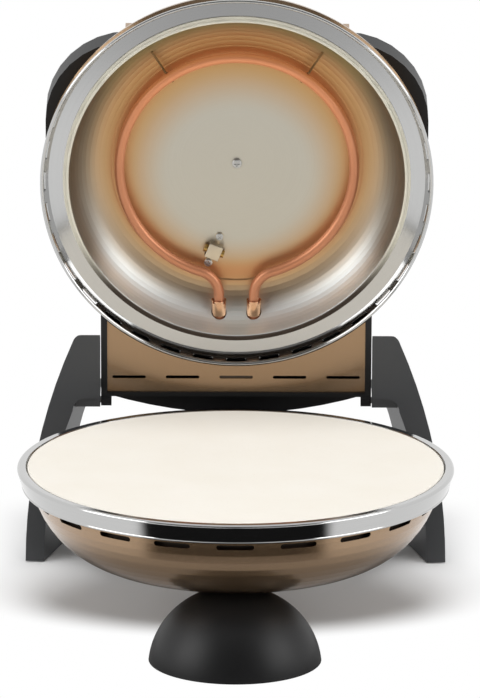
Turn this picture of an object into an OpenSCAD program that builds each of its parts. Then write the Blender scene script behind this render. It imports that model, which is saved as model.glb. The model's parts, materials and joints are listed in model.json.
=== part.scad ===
// Countertop electric pizza maker with a hinged lid, shown with the lid open.
// Lengths are in millimetres. The counter is z = 0, the front is towards -Y and the hinge is at the back.
// Every piece of the lid is drawn closed over the stone and then swung up about the hinge.

/* [Rim and stone] */
// Height of the rim and of the stone's top face above the counter
rim_z = 125; // [118:1:140]
// Radius of the stone's recess in the rim
stone_seat_r = 156; // [150:0.5:160]
// Thickness of the baking stone
stone_t = 12; // [8:0.5:16]
// Gap round the stone in its recess
stone_gap = 0.5; // [0.3:0.1:0.8]
// Chamfer on the stone's edges
stone_chamfer = 0.8; // [0.4:0.1:2]
// Thickness of the pressed sheet metal
sheet_t = 1.2; // [0.8:0.1:1.6]

/* [Base ring] */
// Width of the level lip outside the stone
lip_w = 7; // [5:0.5:10]
// Width of the ledge that carries the stone
ledge_w = 8; // [6:0.5:10]
// Height of the ring's sloping outer wall
ring_h = 14; // [13.5:0.5:18]
// How far the outer wall leans in towards its foot
ring_lean = 4.5; // [2:0.5:6]
// Radius of the rolled edge at the foot of the outer wall
ring_roll_r = 1.1; // [0.8:0.1:1.6]

/* [Bowl] */
// How far inside the stone's recess the bowl leaves the ring
bowl_in = 4.2; // [3.6:0.1:6]
// Depth of the bowl below the rim
bowl_depth = 80; // [72:1:86]
// Radius of the bowl's side arc
bowl_side_r = 71; // [60:1:78]
// Lean of the bowl's wall where it leaves the ring
bowl_lean = 10.7; // [6:0.1:14]
// Number of vent slots round the bowl
bowl_slots = 20; // [12:1:24]
// Length of a bowl slot
bowl_slot_l = 27.5; // [18:0.5:32]
// Height of a bowl slot
bowl_slot_h = 4; // [3:0.5:6]
// Depth of the bowl slots' centre line below the rim
bowl_slot_d = 20.4; // [19:0.1:24]

/* [Inner pan] */
// Depth of the pan's floor below the rim
pan_depth = 50; // [46:1:56]
// Radius of the pan's corner
pan_corner_r = 30; // [20:1:34]
// Gap between the pan's flange and the bowl
pan_gap = 0.6; // [0.4:0.1:1]
// Width of the pan's flange under the ring's ledge
pan_flange_w = 6; // [4:0.5:8]

/* [Front foot] */
// Radius of the half dome
foot_r = 64.3; // [56:0.1:72]
// Distance of the half dome's flat back in front of the bowl's axis
foot_back = 88; // [80:1:92]
// Depth of the half dome's centre below the counter
foot_sink = 6; // [2:1:10]
// Wall of the moulded feet
foot_t = 3; // [2.5:0.5:4]
// Spacing of the ribs inside the front foot
foot_rib_gap = 40; // [34:1:44]
// Length of the boss for the front foot's screw
foot_boss_l = 14; // [10:1:18]
// Thickness of that boss under the bowl
foot_boss_t = 10; // [6:0.5:14]

/* [Rear legs] */
// Distance of the legs' front faces behind the ring
leg_behind = 5; // [4:0.5:10]
// How far a foot's outer edge stands out from the leg's inner edge at the hinge
leg_spread = 57.5; // [52:0.5:62]
// Width of a leg at the counter
leg_foot_w = 14.2; // [12:0.1:20]
// Radius of the leg's outer curve
leg_outer_r = 440; // [380:10:520]
// Radius of the leg's inner curve
leg_inner_r = 340; // [320:10:420]
// Height of the leg's top above the rim
leg_top = 56; // [46:1:60]
// Radius of the leg's upper corner
leg_top_r = 7; // [5:0.5:9]
// How far the leg's top slopes down to its back
leg_top_drop = 16; // [12:1:20]
// Length of the leg's foot from front to back
leg_foot_l = 75; // [60:1:90]
// Length of the leg's top from front to back
leg_top_l = 40; // [34:1:50]
// Angle by which the legs turn in towards the back
leg_toe = 15; // [8:1:18]
// Gap between a leg and the lid's housing
leg_gap = 0.6; // [0.4:0.1:1]
// Radius of the hollow corner under the leg's arm
leg_corner_r = 10; // [6:1:12]
// Spacing of the ribs inside a leg
leg_rib_gap = 38.5; // [32:0.5:44]
// Half length of the leg's hinge arm from front to back
arm_half_l = 6; // [5:0.5:8]
// How far the shelf for the bracket reaches in from the leg
shelf_w = 18; // [15:1:22]
// Height of the shelf for the bracket
shelf_h = 12; // [8:1:16]
// Distance of the lid's stop behind the hinge
stop_y = 32; // [24:1:34]
// How far the stop reaches in under the lid's housing
stop_in = 3; // [2:0.5:4]

/* [Rubber pads] */
// How far the pads stand proud of the feet
pad_proud = 1; // [0.5:0.1:2]
// Depth of a pad's recess in its foot
pad_sunk = 1.5; // [1:0.1:2]
// Width of the front foot's pad
front_pad_w = 10; // [6:1:12]
// Distance of a pad from the edge of its foot
pad_in = 4; // [3:0.5:5]
// Distance of a rear pad from the ends of its foot
pad_end = 9; // [6:1:12]

/* [Hinge] */
// Distance of the hinge axis behind the legs' front faces
hinge_in = 10; // [8:0.5:14]
// Height of the hinge axis above the rim
hinge_up = 2.5; // [2:0.1:4]
// Opening angle of the lid
lid_open = 82; // [70:1:88]
// Radius of the hinge pins
pin_r = 2.5; // [2:0.1:3]
// Radius of the hinge knuckles on the lid
knuckle_r = 4.3; // [4:0.1:5]
// Length of a knuckle
knuckle_l = 8; // [6:0.5:10]
// Length of a pin inside its knuckle
pin_in = 6; // [4:0.5:7]
// Length of a pin inside the leg's arm
pin_out = 17; // [12:0.5:17]
// Running clearance round a pin or shaft
run_gap = 0.05; // [0.02:0.01:0.08]

/* [Lid ring] */
// How far the lid's chrome ring lies inside the base ring
lid_in = 13.7; // [12:0.1:17]
// Gap between the closed lid and the stone
lid_gap = 0.4; // [0.3:0.1:0.8]
// Depth of the ring's slotted skirt
skirt_h = 11.6; // [10:0.2:14]
// How far the skirt leans in
skirt_lean = 6.1; // [4:0.1:8]
// Width of the flat flange inside the skirt
flange_w = 13; // [10:0.5:16]
// Thickness of the ring's sheet
ring_t = 1; // [0.8:0.1:1.4]
// Radius of the rolled edge of the lid's ring
lid_roll_r = 1.4; // [1.1:0.1:1.8]
// Number of vent slots in the skirt
lid_slots = 36; // [24:1:40]
// Length of a skirt slot
lid_slot_l = 16.4; // [10:0.2:20]
// Height of a skirt slot
lid_slot_h = 3.4; // [2.4:0.2:4]
// Height of the skirt slots' centre above the ring's edge
lid_slot_up = 5.8; // [5:0.1:7]

/* [Lid shell] */
// How far the painted shell's rim lies inside the lid's ring
shell_in = 1; // [0.3:0.1:2.5]
// Height of the shell's crown above the ring's edge
shell_h = 57; // [54:0.5:62]
// Radius of the shell's shoulder
shell_side_r = 38; // [34:1:44]
// Lean of the shell's wall at its rim
shell_lean = 8; // [4:1:12]
// Width of the shell's inturned rim
shell_rim_w = 11; // [8:0.5:13]

/* [Lid dish] */
// How far the dish's mouth lies inside the ring's flange
dish_in = 2.8; // [1.6:0.1:6]
// Depth of the dish's floor above the ring's edge
dish_h = 45; // [43:0.5:47]
// Radius of the dish's rolled lip
dish_roll_r = 1.5; // [1.2:0.1:1.8]
// Radius of the dish's corner, which ends at the raised disc
dish_corner_r = 30.8; // [27:0.1:35]
// Height of the raised disc's step
disc_step = 0.6; // [0.4:0.1:1]

/* [Heating elements] */
// Diameter of the element's tube
tube_d = 7.6; // [6.5:0.1:8.5]
// Distance of the upper element inside the disc's edge
upper_in = 7; // [4:0.5:12]
// Height of the upper element above the ring's edge
upper_h = 35; // [33:0.5:37]
// Distance of the lower element inside the edge of the pan's floor
lower_in = 14; // [10:0.5:24]
// Depth of the lower element below the rim
lower_d = 33; // [30:0.5:36]
// Bend radius where the element turns out to its tails
tail_bend_r = 20; // [16:1:24]
// Half the distance between an element's tails
tail_x = 13.4; // [12:0.2:16]
// Length of tail past the wall it goes through
tail_out = 8; // [5:0.5:9]
// Radius of the ferrules on the upper element's tails
ferrule_r = 5.6; // [5.2:0.1:7]
// Length of the ferrules
ferrule_l = 15; // [12:0.5:18]
// Radius of the ceramic bushes on the lower element's tails
bush_r = 5.8; // [5.2:0.1:7]
// Angle of the clips either side of the lid's front
clip_angle = 37; // [30:1:50]
// Width of an element clip
clip_w = 4; // [3:0.5:6]

/* [Lid housing] */
// Half width of the housing's hinge box
box_half_w = 103.5; // [102:0.5:106]
// Radius of the hinge box's rear corners
box_corner_r = 4; // [2:0.5:6]
// How far the housing's grips lie inside the lid's ring
grip_in = 3.6; // [1:0.1:7]
// How far the housing's front edge lies inside the lid's ring
housing_in = 47.8; // [43:0.1:53]
// Radius of the grips' front corners
grip_corner_r = 64; // [50:1:70]
// Radius of the curve that brings the grips in to the hinge box
grip_tail_r = 80; // [70:1:90]
// Where the grips start to come in, behind the lid's axis
grip_tail_y = 25; // [15:1:30]
// Distance of the housing's straight rear edge in front of the hinge axis
box_in = 3; // [2:0.5:4]
// How far the housing's back bows out
box_bow = 16; // [8:1:18]
// Height at which the bowed back begins
bow_up = 6; // [5:0.5:10]
// Height of the underside of the housing above the ring's edge
box_low = 1; // [0.8:0.1:2]
// Height of the grips' underside above the ring's edge
grip_low = 38; // [34:1:42]
// Height of the housing's top above the ring's edge
housing_h = 61; // [60:0.5:66]
// Wall of the moulded housing
housing_t = 2.8; // [2.4:0.1:3.2]

/* [Panels] */
// Recess of the underside panel behind the housing's rim
panel_recess = 1.8; // [1:0.1:3]
// Width of the housing's rim at the panel's sides
panel_side_w = 4.8; // [4:0.1:6]
// Width of the housing's rim at the panel's rear
panel_rear_w = 3.2; // [3:0.1:5]
// Number of slots in the underside panel
panel_slots = 5; // [3:1:7]
// Height of the underside panel's turned-up edges
panel_edge_h = 8; // [5:0.5:10]
// Spacing of the underside panel's slots
panel_slot_pitch = 41; // [36:0.5:44]
// Length of a slot in the underside panel
panel_slot_l = 25.7; // [18:0.1:30]
// Height of a slot in the underside panel
panel_slot_h = 2.4; // [2:0.1:4]
// Distance of the slots from the underside panel's rear edge
panel_slot_in = 12.5; // [8:0.5:16]
// Half width of the top cover at its front
cover_front_half_w = 85; // [76:1:92]
// Half width of the top cover at its back
cover_rear_half_w = 94; // [86:1:96]
// How far the top cover reaches past the housing's front edge
cover_over = 13; // [6:0.5:16]
// Distance of the top cover's rear edge from the housing's
cover_rear_in = 6; // [4:0.5:10]
// Depth of the lip turned down along the cover's front
cover_lip_h = 8; // [5:0.5:10]
// Height of the bosses for the cover's screws
cover_boss_h = 11; // [9:0.5:12]
// Distance of the cover's screws from its edges
cover_screw_in = 11; // [8:0.5:14]

/* [Control] */
// Distance of the control knob in front of the housing's rear edge
knob_in = 47; // [42:1:54]
// Radius of the control knob
knob_r = 19; // [15:0.5:22]
// Height of the control knob
knob_h = 14; // [10:0.5:16]
// Height of the knob's skirt
knob_skirt_h = 3; // [2:0.5:4]
// Width of the knob's grip bar
knob_bar_w = 8; // [6:0.5:10]
// Depth of the shaft's bore in the knob
knob_bore_h = 9.5; // [8:0.5:9.5]
// Gap under the knob
knob_gap = 0.8; // [0.4:0.1:1.2]
// Radius of the control's shaft
shaft_r = 3; // [2.5:0.1:3.5]
// Depth of the shaft in the thermostat
shaft_in = 11; // [8:0.5:14]
// Radius of the thermostat's can
thermostat_r = 17; // [14:0.5:19]
// Depth of the thermostat's can
thermostat_h = 18; // [12:0.5:22]
// Distance of the pilot lamp from the knob
lamp_x = 44; // [34:1:56]
// Radius of the pilot lamp's lens
lamp_r = 4.5; // [3.5:0.1:6]

/* [Back bracket] */
// Depth of the bracket's plate below the rim
bracket_d = 45; // [42:1:48]
// Thickness of the bracket's plate
bracket_t = 2.5; // [2:0.1:3]
// Height of the bracket's flanges on the bowl
bracket_flange_h = 13; // [10:1:16]
// Length of the bracket's ends on the legs' shelves
bracket_end_l = 27; // [22:1:30]
// Distance of the bracket's screws behind the hinge axis
bracket_screw_y = 10; // [6:1:14]
// Half width of the terminal cover
terminal_half_w = 30; // [26:1:34]
// Height of the terminal cover
terminal_h = 25; // [24:0.5:28]
// Distance of the terminal cover's back behind the hinge axis
terminal_behind = 8; // [6:0.5:12]
// Wall of the terminal cover
terminal_t = 2.5; // [2:0.1:3]
// Radius of the cord's bore in the gland
cord_r = 3.6; // [3:0.1:4]
// Wall of the gland
gland_t = 2.4; // [2:0.1:3]

/* [Fasteners] */
// Radius of the screws' shanks
screw_r = 2; // [1.5:0.1:2.5]
// Radius of the screws' heads
screw_head_r = 3.8; // [3.2:0.1:4.5]
// Height of the screws' heads
screw_head_h = 2.4; // [1.8:0.1:3]
// Gap left between fitted pieces
fit_gap = 0.2; // [0.1:0.05:0.4]

/* [Hidden] */

$fn = 96;
// Steps on a profile's arcs
arc_steps = 12;
// How far a cutting shape runs past what it cuts
over = 1;
// How much thicker the element's tube is where its bends meet
bend_band = 0.12;
// Distance of the bowl's axis in front of the middle of the whole object
bowl_ahead = 42.2;

rim_out_r = stone_seat_r + lip_w;
ledge_low = stone_t + sheet_t;
bowl_r = stone_seat_r - bowl_in;
pan_out_r = bowl_r - sheet_t - pan_gap;
pan_r = pan_out_r - pan_flange_w;
pan_floor_r = pan_r - pan_corner_r;
lower_r = pan_floor_r - lower_in;

leg_y = rim_out_r + leg_behind;
leg_in_x = box_half_w + leg_gap;
leg_half_w = leg_in_x + leg_spread;
leg_pivot_x = leg_half_w - leg_foot_w / 2;
leg_h = rim_z + leg_top;
foot_low = pad_proud;
hinge_y = leg_y + hinge_in;
hinge_z = rim_z + hinge_up;
bracket_z = rim_z - bracket_d;
bracket_top = bracket_z + bracket_t;
bracket_rear = hinge_y - hinge_in / 2 + bracket_end_l;
bracket_screw_x = leg_inner_at(bracket_z, hinge_y + bracket_screw_y) - screw_head_r - 2 * bracket_t;
terminal_back = hinge_y + terminal_behind;
foot_screw_y = foot_back + foot_boss_l / 2;
foot_boss_low = rim_z - bowl_crown_depth(foot_screw_y) - foot_boss_t;

lid_z = rim_z + lid_gap;
lid_r = rim_out_r - lid_in;
skirt_in_r = lid_r - skirt_lean;
flange_in_r = skirt_in_r - flange_w;
shell_r = lid_r - shell_in;
dish_r = flange_in_r - dish_in;
disc_r = dish_r - dish_corner_r;
dish_mouth_h = dish_h - dish_corner_r;
disc_low = dish_h + disc_step;
upper_r = disc_r - upper_in;
grip_half_w = lid_r - grip_in;
housing_front = lid_r - housing_in;
box_rear = hinge_y - box_in;
box_front = housing_front - housing_t;
panel_low = box_low + panel_recess;
panel_rear = box_rear - housing_t - fit_gap;
panel_half_w = box_half_w - housing_t - fit_gap;
cover_top = housing_h + sheet_t;
cover_rear = box_rear - cover_rear_in;
knob_y = box_rear - knob_in;

// Points on an arc about a centre
function arc_pts(c, r, a0, a1, n) =
    [for (i = [0 : n]) c + r * [cos(a0 + (a1 - a0) * i / n), sin(a0 + (a1 - a0) * i / n)]];

// Centre of the side arc of a two-arc shell, as radius and depth from its mouth's plane
function side_centre(r0, d0, lean, side_r) = [r0 - side_r * cos(lean), d0 - side_r * sin(lean)];

// Depth of the crown arc's centre, where the crown arc is tangent to the side arc and ends on the axis
function crown_centre(c, side_r, depth) =
    let (e = depth - side_r) (c[0] * c[0] + c[1] * c[1] - e * e) / (2 * (c[1] - e));

// Half profile of a two-arc shell from its mouth to its pole, moved inwards by inset
function shell_pts(r0, d0, lean, side_r, depth, inset) =
    let (
        c = side_centre(r0, d0, lean, side_r),
        dc = crown_centre(c, side_r, depth),
        crown_r = depth - dc - inset,
        join = atan2(c[1] - dc, c[0])
    )
    concat(
        arc_pts(c, side_r - inset, lean, join, arc_steps),
        [
            for (i = [1 : arc_steps])
                let (a = join + (90 - join) * i / arc_steps) [crown_r * cos(a), dc + crown_r * sin(a)]
        ]
    );

function reversed(list) = [for (i = [len(list) - 1 : -1 : 0]) list[i]];
function flip_z(list) = [for (p = list) [p[0], -p[1]]];

// Profiles of the bowl and of the lid's shell, as radius and distance from the rim's plane
function bowl_pts(inset) = shell_pts(bowl_r, ledge_low + sheet_t, bowl_lean, bowl_side_r, bowl_depth, inset);
function dome_pts(inset) = shell_pts(shell_r, skirt_h + ring_t, shell_lean, shell_side_r, shell_h, inset);

// Radius of the bowl's outside at a depth below the rim, on its side arc
function bowl_side_radius(d) =
    let (c = side_centre(bowl_r, ledge_low + sheet_t, bowl_lean, bowl_side_r))
    c[0] + sqrt(bowl_side_r * bowl_side_r - (d - c[1]) * (d - c[1]));

// Depth of the bowl's outside below the rim at a radius on its crown arc
function bowl_crown_depth(r) =
    let (
        c = side_centre(bowl_r, ledge_low + sheet_t, bowl_lean, bowl_side_r),
        dc = crown_centre(c, bowl_side_r, bowl_depth)
    )
    dc + sqrt((bowl_depth - dc) * (bowl_depth - dc) - r * r);

// Radius of the dish's wall at a height above the ring's edge
function dish_wall_radius(h) =
    disc_r + sqrt(dish_corner_r * dish_corner_r - pow(h - dish_mouth_h, 2));

// Radius of the inner pan's wall at a depth below the rim, on its corner
function pan_wall_radius(d) =
    pan_floor_r + sqrt(pan_corner_r * pan_corner_r - pow(d - (pan_depth - pan_corner_r), 2));

// Edges of a leg's front face at a height above the counter
function leg_outer_x(z) = leg_half_w - leg_outer_r + sqrt(leg_outer_r * leg_outer_r - z * z);
function leg_inner_x(z) = leg_half_w - leg_foot_w - leg_inner_r + sqrt(leg_inner_r * leg_inner_r - z * z);

// Inner face of a leg at a height and at a distance behind the bowl's axis
function leg_inner_at(z, y) = leg_inner_x(z) - (y - leg_y) * tan(leg_toe);

// How far the housing's back bows out at a distance from its middle
function bow_at(x) = box_bow * (1 - pow(x / box_half_w, 2));

// Moves a shape from the bowl's axis to the middle of the object
module placed() {
    translate([0, -bowl_ahead, 0]) children();
}

// Swings a closed-lid shape up to the open position
module opened() {
    placed()
        translate([0, hinge_y, hinge_z])
            rotate([-lid_open, 0, 0])
                translate([0, -hinge_y, -hinge_z])
                    children();
}

// Slot with round ends that cuts outwards along X from radius r0 to r1
module slot_cut(length, height, r0, r1) {
    translate([r0, 0, 0])
        rotate([90, 0, 90])
            linear_extrude(r1 - r0) {
                square([length - height, height], center = true);
                for (side = [-1, 1])
                    translate([side * (length - height) / 2, 0]) circle(d = height, $fn = 24);
            }
}

// Solid of revolution that fills the bowl's outside, grown by grow
module bowl_space(grow) {
    translate([0, 0, rim_z])
        rotate_extrude($fn = 144)
            polygon(concat([[0, 0], [bowl_r + grow, 0]], flip_z(bowl_pts(-grow))));
}

// Solid of revolution that fills the lid's shell and ring, grown by grow
module lid_space(grow) {
    translate([0, 0, lid_z])
        rotate_extrude($fn = 144)
            polygon(concat(
                [[0, -over], [lid_r + grow, -over], [lid_r + grow, skirt_h + ring_t]],
                dome_pts(-grow)
            ));
}

// Bent tube of an element: a circle whose two ends turn out and run straight back
module element_tube(ring_r, end_y) {
    bend_x = tail_x + tail_bend_r;
    bend_y = sqrt(pow(ring_r + tail_bend_r, 2) - bend_x * bend_x);
    turn = atan2(bend_y, bend_x);
    reach = 2 * ring_r;
    difference() {
        rotate_extrude() translate([ring_r, 0]) circle(d = tube_d, $fn = 32);
        translate([0, 0, -tube_d])
            linear_extrude(2 * tube_d)
                polygon([
                    [0, 0], reach * [cos(turn), sin(turn)],
                    [0, 2 * reach], reach * [-cos(turn), sin(turn)]
                ]);
    }
    for (side = [0, 1])
        mirror([side, 0, 0]) {
            rotate([0, 0, turn])
                translate([ring_r, 0, 0])
                    rotate([90, 0, 0]) bend_collar();
            translate([bend_x, bend_y, 0]) {
                intersection() {
                    rotate_extrude() translate([tail_bend_r, 0]) circle(d = tube_d, $fn = 32);
                    translate([0, 0, -tube_d])
                        linear_extrude(2 * tube_d)
                            polygon([[0, 0], [-reach, 0], -reach * [cos(turn), sin(turn)]]);
                }
                translate([-tail_bend_r, 0, 0])
                    rotate([-90, 0, 0]) {
                        cylinder(d = tube_d, h = end_y - bend_y, $fn = 32);
                        bend_collar();
                    }
            }
        }
}

// Slight band where a bend of the tube meets the next length
module bend_collar() {
    cylinder(d = tube_d + bend_band, h = 0.8, center = true, $fn = 32);
}

// Pan-head screw whose head sits on z = 0 and whose shank hangs below
module screw(length) {
    cylinder(r = screw_head_r, h = screw_head_h, $fn = 32);
    translate([0, 0, -length]) cylinder(r = screw_r, h = length + over / 2, $fn = 24);
}

// Chrome ring round the base: ledge, lip, sloping wall and rolled foot
module base_ring() {
    wall_foot = [rim_out_r - ring_lean, -ring_h];
    color("gainsboro")
        translate([0, 0, rim_z])
            rotate_extrude($fn = 144)
                polygon(concat(
                    [[stone_seat_r - ledge_w, -ledge_low], [stone_seat_r - ledge_w, -stone_t]],
                    [[stone_seat_r, -stone_t]],
                    arc_pts([stone_seat_r + 1, -1], 1, 180, 90, 4),
                    arc_pts([rim_out_r - 2, -2], 2, 90, 0, 6),
                    arc_pts(wall_foot, ring_roll_r, 40, -160, 8),
                    arc_pts([rim_out_r - 2, -2], 2 - sheet_t, 0, 90, 4),
                    [[stone_seat_r + sheet_t, -sheet_t], [stone_seat_r + sheet_t, -ledge_low]]
                ));
}

// Round baking stone
module baking_stone() {
    r = stone_seat_r - stone_gap;
    color("ivory")
        translate([0, 0, rim_z - stone_t])
            rotate_extrude($fn = 144)
                polygon([
                    [0, 0], [r - stone_chamfer, 0], [r, stone_chamfer],
                    [r, stone_t - stone_chamfer], [r - stone_chamfer, stone_t], [0, stone_t]
                ]);
}

// Painted bowl under the ring, with its ring of vent slots and holes for the element's tails
module bowl() {
    rim_flange = stone_seat_r + sheet_t - fit_gap;
    color("peru")
        difference() {
            translate([0, 0, rim_z])
                rotate_extrude($fn = 144)
                    polygon(concat(
                        [[rim_flange, -ledge_low], [rim_flange, -ledge_low - sheet_t]],
                        flip_z(bowl_pts(0)),
                        reversed(flip_z(bowl_pts(sheet_t))),
                        [[bowl_r - sheet_t, -ledge_low]]
                    ));
            for (i = [0 : bowl_slots - 1])
                rotate([0, 0, 360 * i / bowl_slots - 90])
                    translate([0, 0, rim_z - bowl_slot_d])
                        slot_cut(bowl_slot_l, bowl_slot_h, bowl_r - 16, bowl_r + 8);
            for (side = [-1, 1])
                translate([side * tail_x, bowl_side_radius(lower_d) - 12, rim_z - lower_d])
                    rotate([-90, 0, 0])
                        cylinder(r = bush_r + fit_gap, h = 24, $fn = 32);
            translate([0, -foot_screw_y, foot_boss_low])
                cylinder(r = screw_r + 0.1, h = 2 * foot_boss_t, $fn = 24);
        }
}

// Bright inner pan between the bowl and the lower element
module inner_pan() {
    corner = [pan_floor_r, pan_corner_r - pan_depth];
    color("silver")
        difference() {
            translate([0, 0, rim_z])
                rotate_extrude()
                    polygon(concat(
                        [[pan_out_r, -ledge_low], [pan_out_r, -ledge_low - sheet_t]],
                        [[pan_r, -ledge_low - sheet_t]],
                        arc_pts(corner, pan_corner_r, 0, -90, arc_steps),
                        [[0, -pan_depth], [0, sheet_t - pan_depth]],
                        arc_pts(corner, pan_corner_r - sheet_t, -90, 0, arc_steps),
                        [[pan_r - sheet_t, -ledge_low]]
                    ));
            for (side = [-1, 1])
                translate([side * tail_x, pan_wall_radius(lower_d) - 10, rim_z - lower_d])
                    rotate([-90, 0, 0])
                        cylinder(d = tube_d + 1, h = 20, $fn = 32);
        }
}

// Bent heating tube under the stone
module lower_element() {
    color("dimgray")
        translate([0, 0, rim_z - lower_d])
            element_tube(lower_r, bowl_side_radius(lower_d) + tail_out);
}

// Three strip feet that hold the lower element above the pan's floor
module lower_clips() {
    low = rim_z - pan_depth + sheet_t;
    seat = rim_z - lower_d - tube_d / 2;
    color("silver")
        for (turn = [-90, 30, 150])
            rotate([0, 0, turn])
                translate([lower_r, 0, 0])
                    difference() {
                        translate([-tube_d, -clip_w / 2, low]) cube([2 * tube_d, clip_w, seat - low + 2]);
                        translate([-tube_d + sheet_t, -clip_w, low + sheet_t])
                            cube([2 * tube_d - 2 * sheet_t, 2 * clip_w, seat - low - 2 * sheet_t]);
                        translate([0, 0, seat + tube_d / 2])
                            rotate([90, 0, 0])
                                cylinder(d = tube_d + 2 * run_gap, h = 3 * clip_w, center = true, $fn = 48);
                    }
}

// Ceramic bushes round the lower tails in the bowl's wall
module pan_bushes() {
    near = pan_wall_radius(lower_d - bush_r) + fit_gap;
    long = bowl_side_radius(lower_d) + 3 - near;
    color("white")
        for (side = [-1, 1])
            translate([side * tail_x, near, rim_z - lower_d])
                rotate([-90, 0, 0])
                    difference() {
                        cylinder(r = bush_r, h = long, $fn = 48);
                        translate([0, 0, -over])
                            cylinder(d = tube_d + 2 * run_gap, h = long + 2 * over, $fn = 48);
                    }
}

// Half dome that carries the front of the bowl, hollow and ribbed behind
module front_foot() {
    color("#1b1b1c")
        difference() {
            intersection() {
                translate([0, -foot_back, -foot_sink]) sphere(r = foot_r);
                translate([-foot_r, -foot_back - foot_r, foot_low]) cube([2 * foot_r, foot_r, rim_z]);
                union() {
                    difference() {
                        translate([0, -foot_back, -foot_sink]) sphere(r = foot_r + over);
                        translate([0, -foot_back, -foot_sink]) sphere(r = foot_r - foot_t);
                    }
                    for (side = [-1, 1])
                        translate([side * foot_rib_gap / 2 - foot_t / 2, -foot_back - foot_r, 0])
                            cube([foot_t, foot_r, rim_z]);
                    translate([-foot_rib_gap / 2, -foot_back - foot_boss_l, foot_boss_low])
                        cube([foot_rib_gap, foot_boss_l, 3 * foot_boss_t]);
                    translate([-foot_r, -foot_back - foot_r, 0])
                        cube([2 * foot_r, foot_r, foot_low + pad_sunk + foot_t]);
                }
            }
            bowl_space(fit_gap / 2);
            translate([0, 0, foot_low - over]) front_pad_shape(pad_sunk + over, 0);
            translate([0, -foot_screw_y, foot_boss_low - over])
                cylinder(r = screw_r + 0.1, h = 3 * foot_boss_t, $fn = 24);
        }
}

// Plan of the front foot's pad: a half ring that follows the dome's edge
module front_pad_shape(height, shrink) {
    edge_r = sqrt(foot_r * foot_r - pow(foot_sink + foot_low, 2));
    translate([0, -foot_back, 0])
        rotate([0, 0, 180])
            rotate_extrude(angle = 180)
                translate([edge_r - pad_in - front_pad_w + shrink, 0])
                    square([front_pad_w - 2 * shrink, height]);
}

// Front outline of a leg, drawn as x and height, moved inwards by inset
function leg_outline(inset) =
    let (
        arm_low = hinge_z + knuckle_r - over,
        corner_z = arm_low - leg_corner_r,
        corner_x = leg_inner_x(corner_z) - leg_corner_r,
        turn = asin(leg_h / leg_outer_r),
        slope_z = leg_h - leg_top_r * (1 - sin(turn)),
        top_x = leg_outer_x(slope_z) - leg_top_r * cos(turn)
    )
    concat(
        [
            for (i = [0 : 8])
                let (z = foot_low + inset + (corner_z - foot_low - inset) * i / 8) [leg_inner_x(z) + inset, z]
        ],
        arc_pts([corner_x, corner_z], leg_corner_r + inset, 10, 90, 6),
        [[leg_in_x + inset, arm_low + inset], [leg_in_x + inset, leg_h - inset]],
        arc_pts([top_x, leg_h - leg_top_r], leg_top_r - inset, 90, turn, 6),
        [
            for (i = [1 : 10])
                let (z = slope_z - (slope_z - foot_low - inset) * i / 10) [leg_outer_x(z) - inset, z]
        ]
    );

// Distance from a leg's front face to its back edge at a height
function leg_length(z) = leg_top_l + (leg_foot_l - leg_top_l) * pow(1 - z / leg_h, 2);

// Side outline of a leg: upright front, sloping top and curved back
module leg_side() {
    back_h = leg_h - leg_top_drop;
    round_r = leg_top_drop / 2;
    polygon(concat(
        [[leg_y, 0]],
        [for (i = [0 : 10]) let (z = (back_h - round_r) * i / 10) [leg_y + leg_length(z), z]],
        arc_pts([leg_y + leg_length(back_h) - round_r, back_h - round_r], round_r, 0, 70, 5),
        [[leg_y, leg_h]]
    ));
}

// Prism of the leg's outline, turned in by the toe angle about its foot
module leg_prism(inset) {
    reach = 2 * leg_foot_l;
    translate([leg_pivot_x, leg_y, 0])
        rotate([90, 0, leg_toe])
            translate([0, 0, -reach])
                linear_extrude(reach + leg_foot_w)
                    polygon([for (p = leg_outline(inset)) [(p[0] - leg_pivot_x) * cos(leg_toe), p[1]]]);
}

// Hollow at the back of a leg, parted by its ribs
module leg_hollow() {
    difference() {
        leg_prism(foot_t);
        cube([2 * leg_half_w, leg_y + foot_t, 2 * leg_h]);
        for (i = [1, 2])
            translate([0, leg_y, i * leg_rib_gap]) cube([2 * leg_half_w, 2 * leg_foot_l, foot_t * 0.7]);
        translate([0, 0, foot_low + pad_sunk]) cube([2 * leg_half_w, 2 * leg_y, foot_t]);
    }
}

// Right leg: outline, curved back, hollow behind, hinge arm, shelf for the bracket and stop for the lid
module leg() {
    arm_x = leg_inner_x(hinge_z) + 2;
    stop_h = box_in - bow_at(leg_in_x - leg_gap - stop_in) + stop_y * tan(90 - lid_open) - fit_gap - over;
    difference() {
        union() {
            intersection() {
                difference() {
                    leg_prism(0);
                    leg_hollow();
                }
                translate([leg_in_x, 0, 0])
                    rotate([90, 0, 90])
                        linear_extrude(leg_half_w) leg_side();
            }
            translate([leg_in_x, hinge_y - arm_half_l, hinge_z - knuckle_r])
                cube([arm_x - leg_in_x, 2 * arm_half_l, 2 * knuckle_r]);
            translate([leg_inner_x(bracket_z) - shelf_w, hinge_y - hinge_in / 2, bracket_z - shelf_h])
                cube([shelf_w + 6, bracket_end_l - bracket_t, shelf_h]);
            translate([leg_in_x - leg_gap - stop_in, hinge_y + stop_y, hinge_z + over])
                cube([leg_gap + stop_in + foot_t, 6, stop_h]);
        }
        translate([leg_in_x - over, hinge_y, hinge_z])
            rotate([0, 90, 0]) cylinder(r = pin_r + fit_gap / 10, h = pin_out + 2 * over, $fn = 48);
        translate([bracket_screw_x, hinge_y + bracket_screw_y, bracket_z - shelf_h - over])
            cylinder(r = screw_r + 0.1, h = shelf_h + 2 * over, $fn = 24);
        rear_pad_shape(foot_low + pad_sunk, 0);
    }
}

module leg_right() {
    color("#242425") leg();
}

module leg_left() {
    color("#242425") mirror([1, 0, 0]) leg();
}

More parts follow.
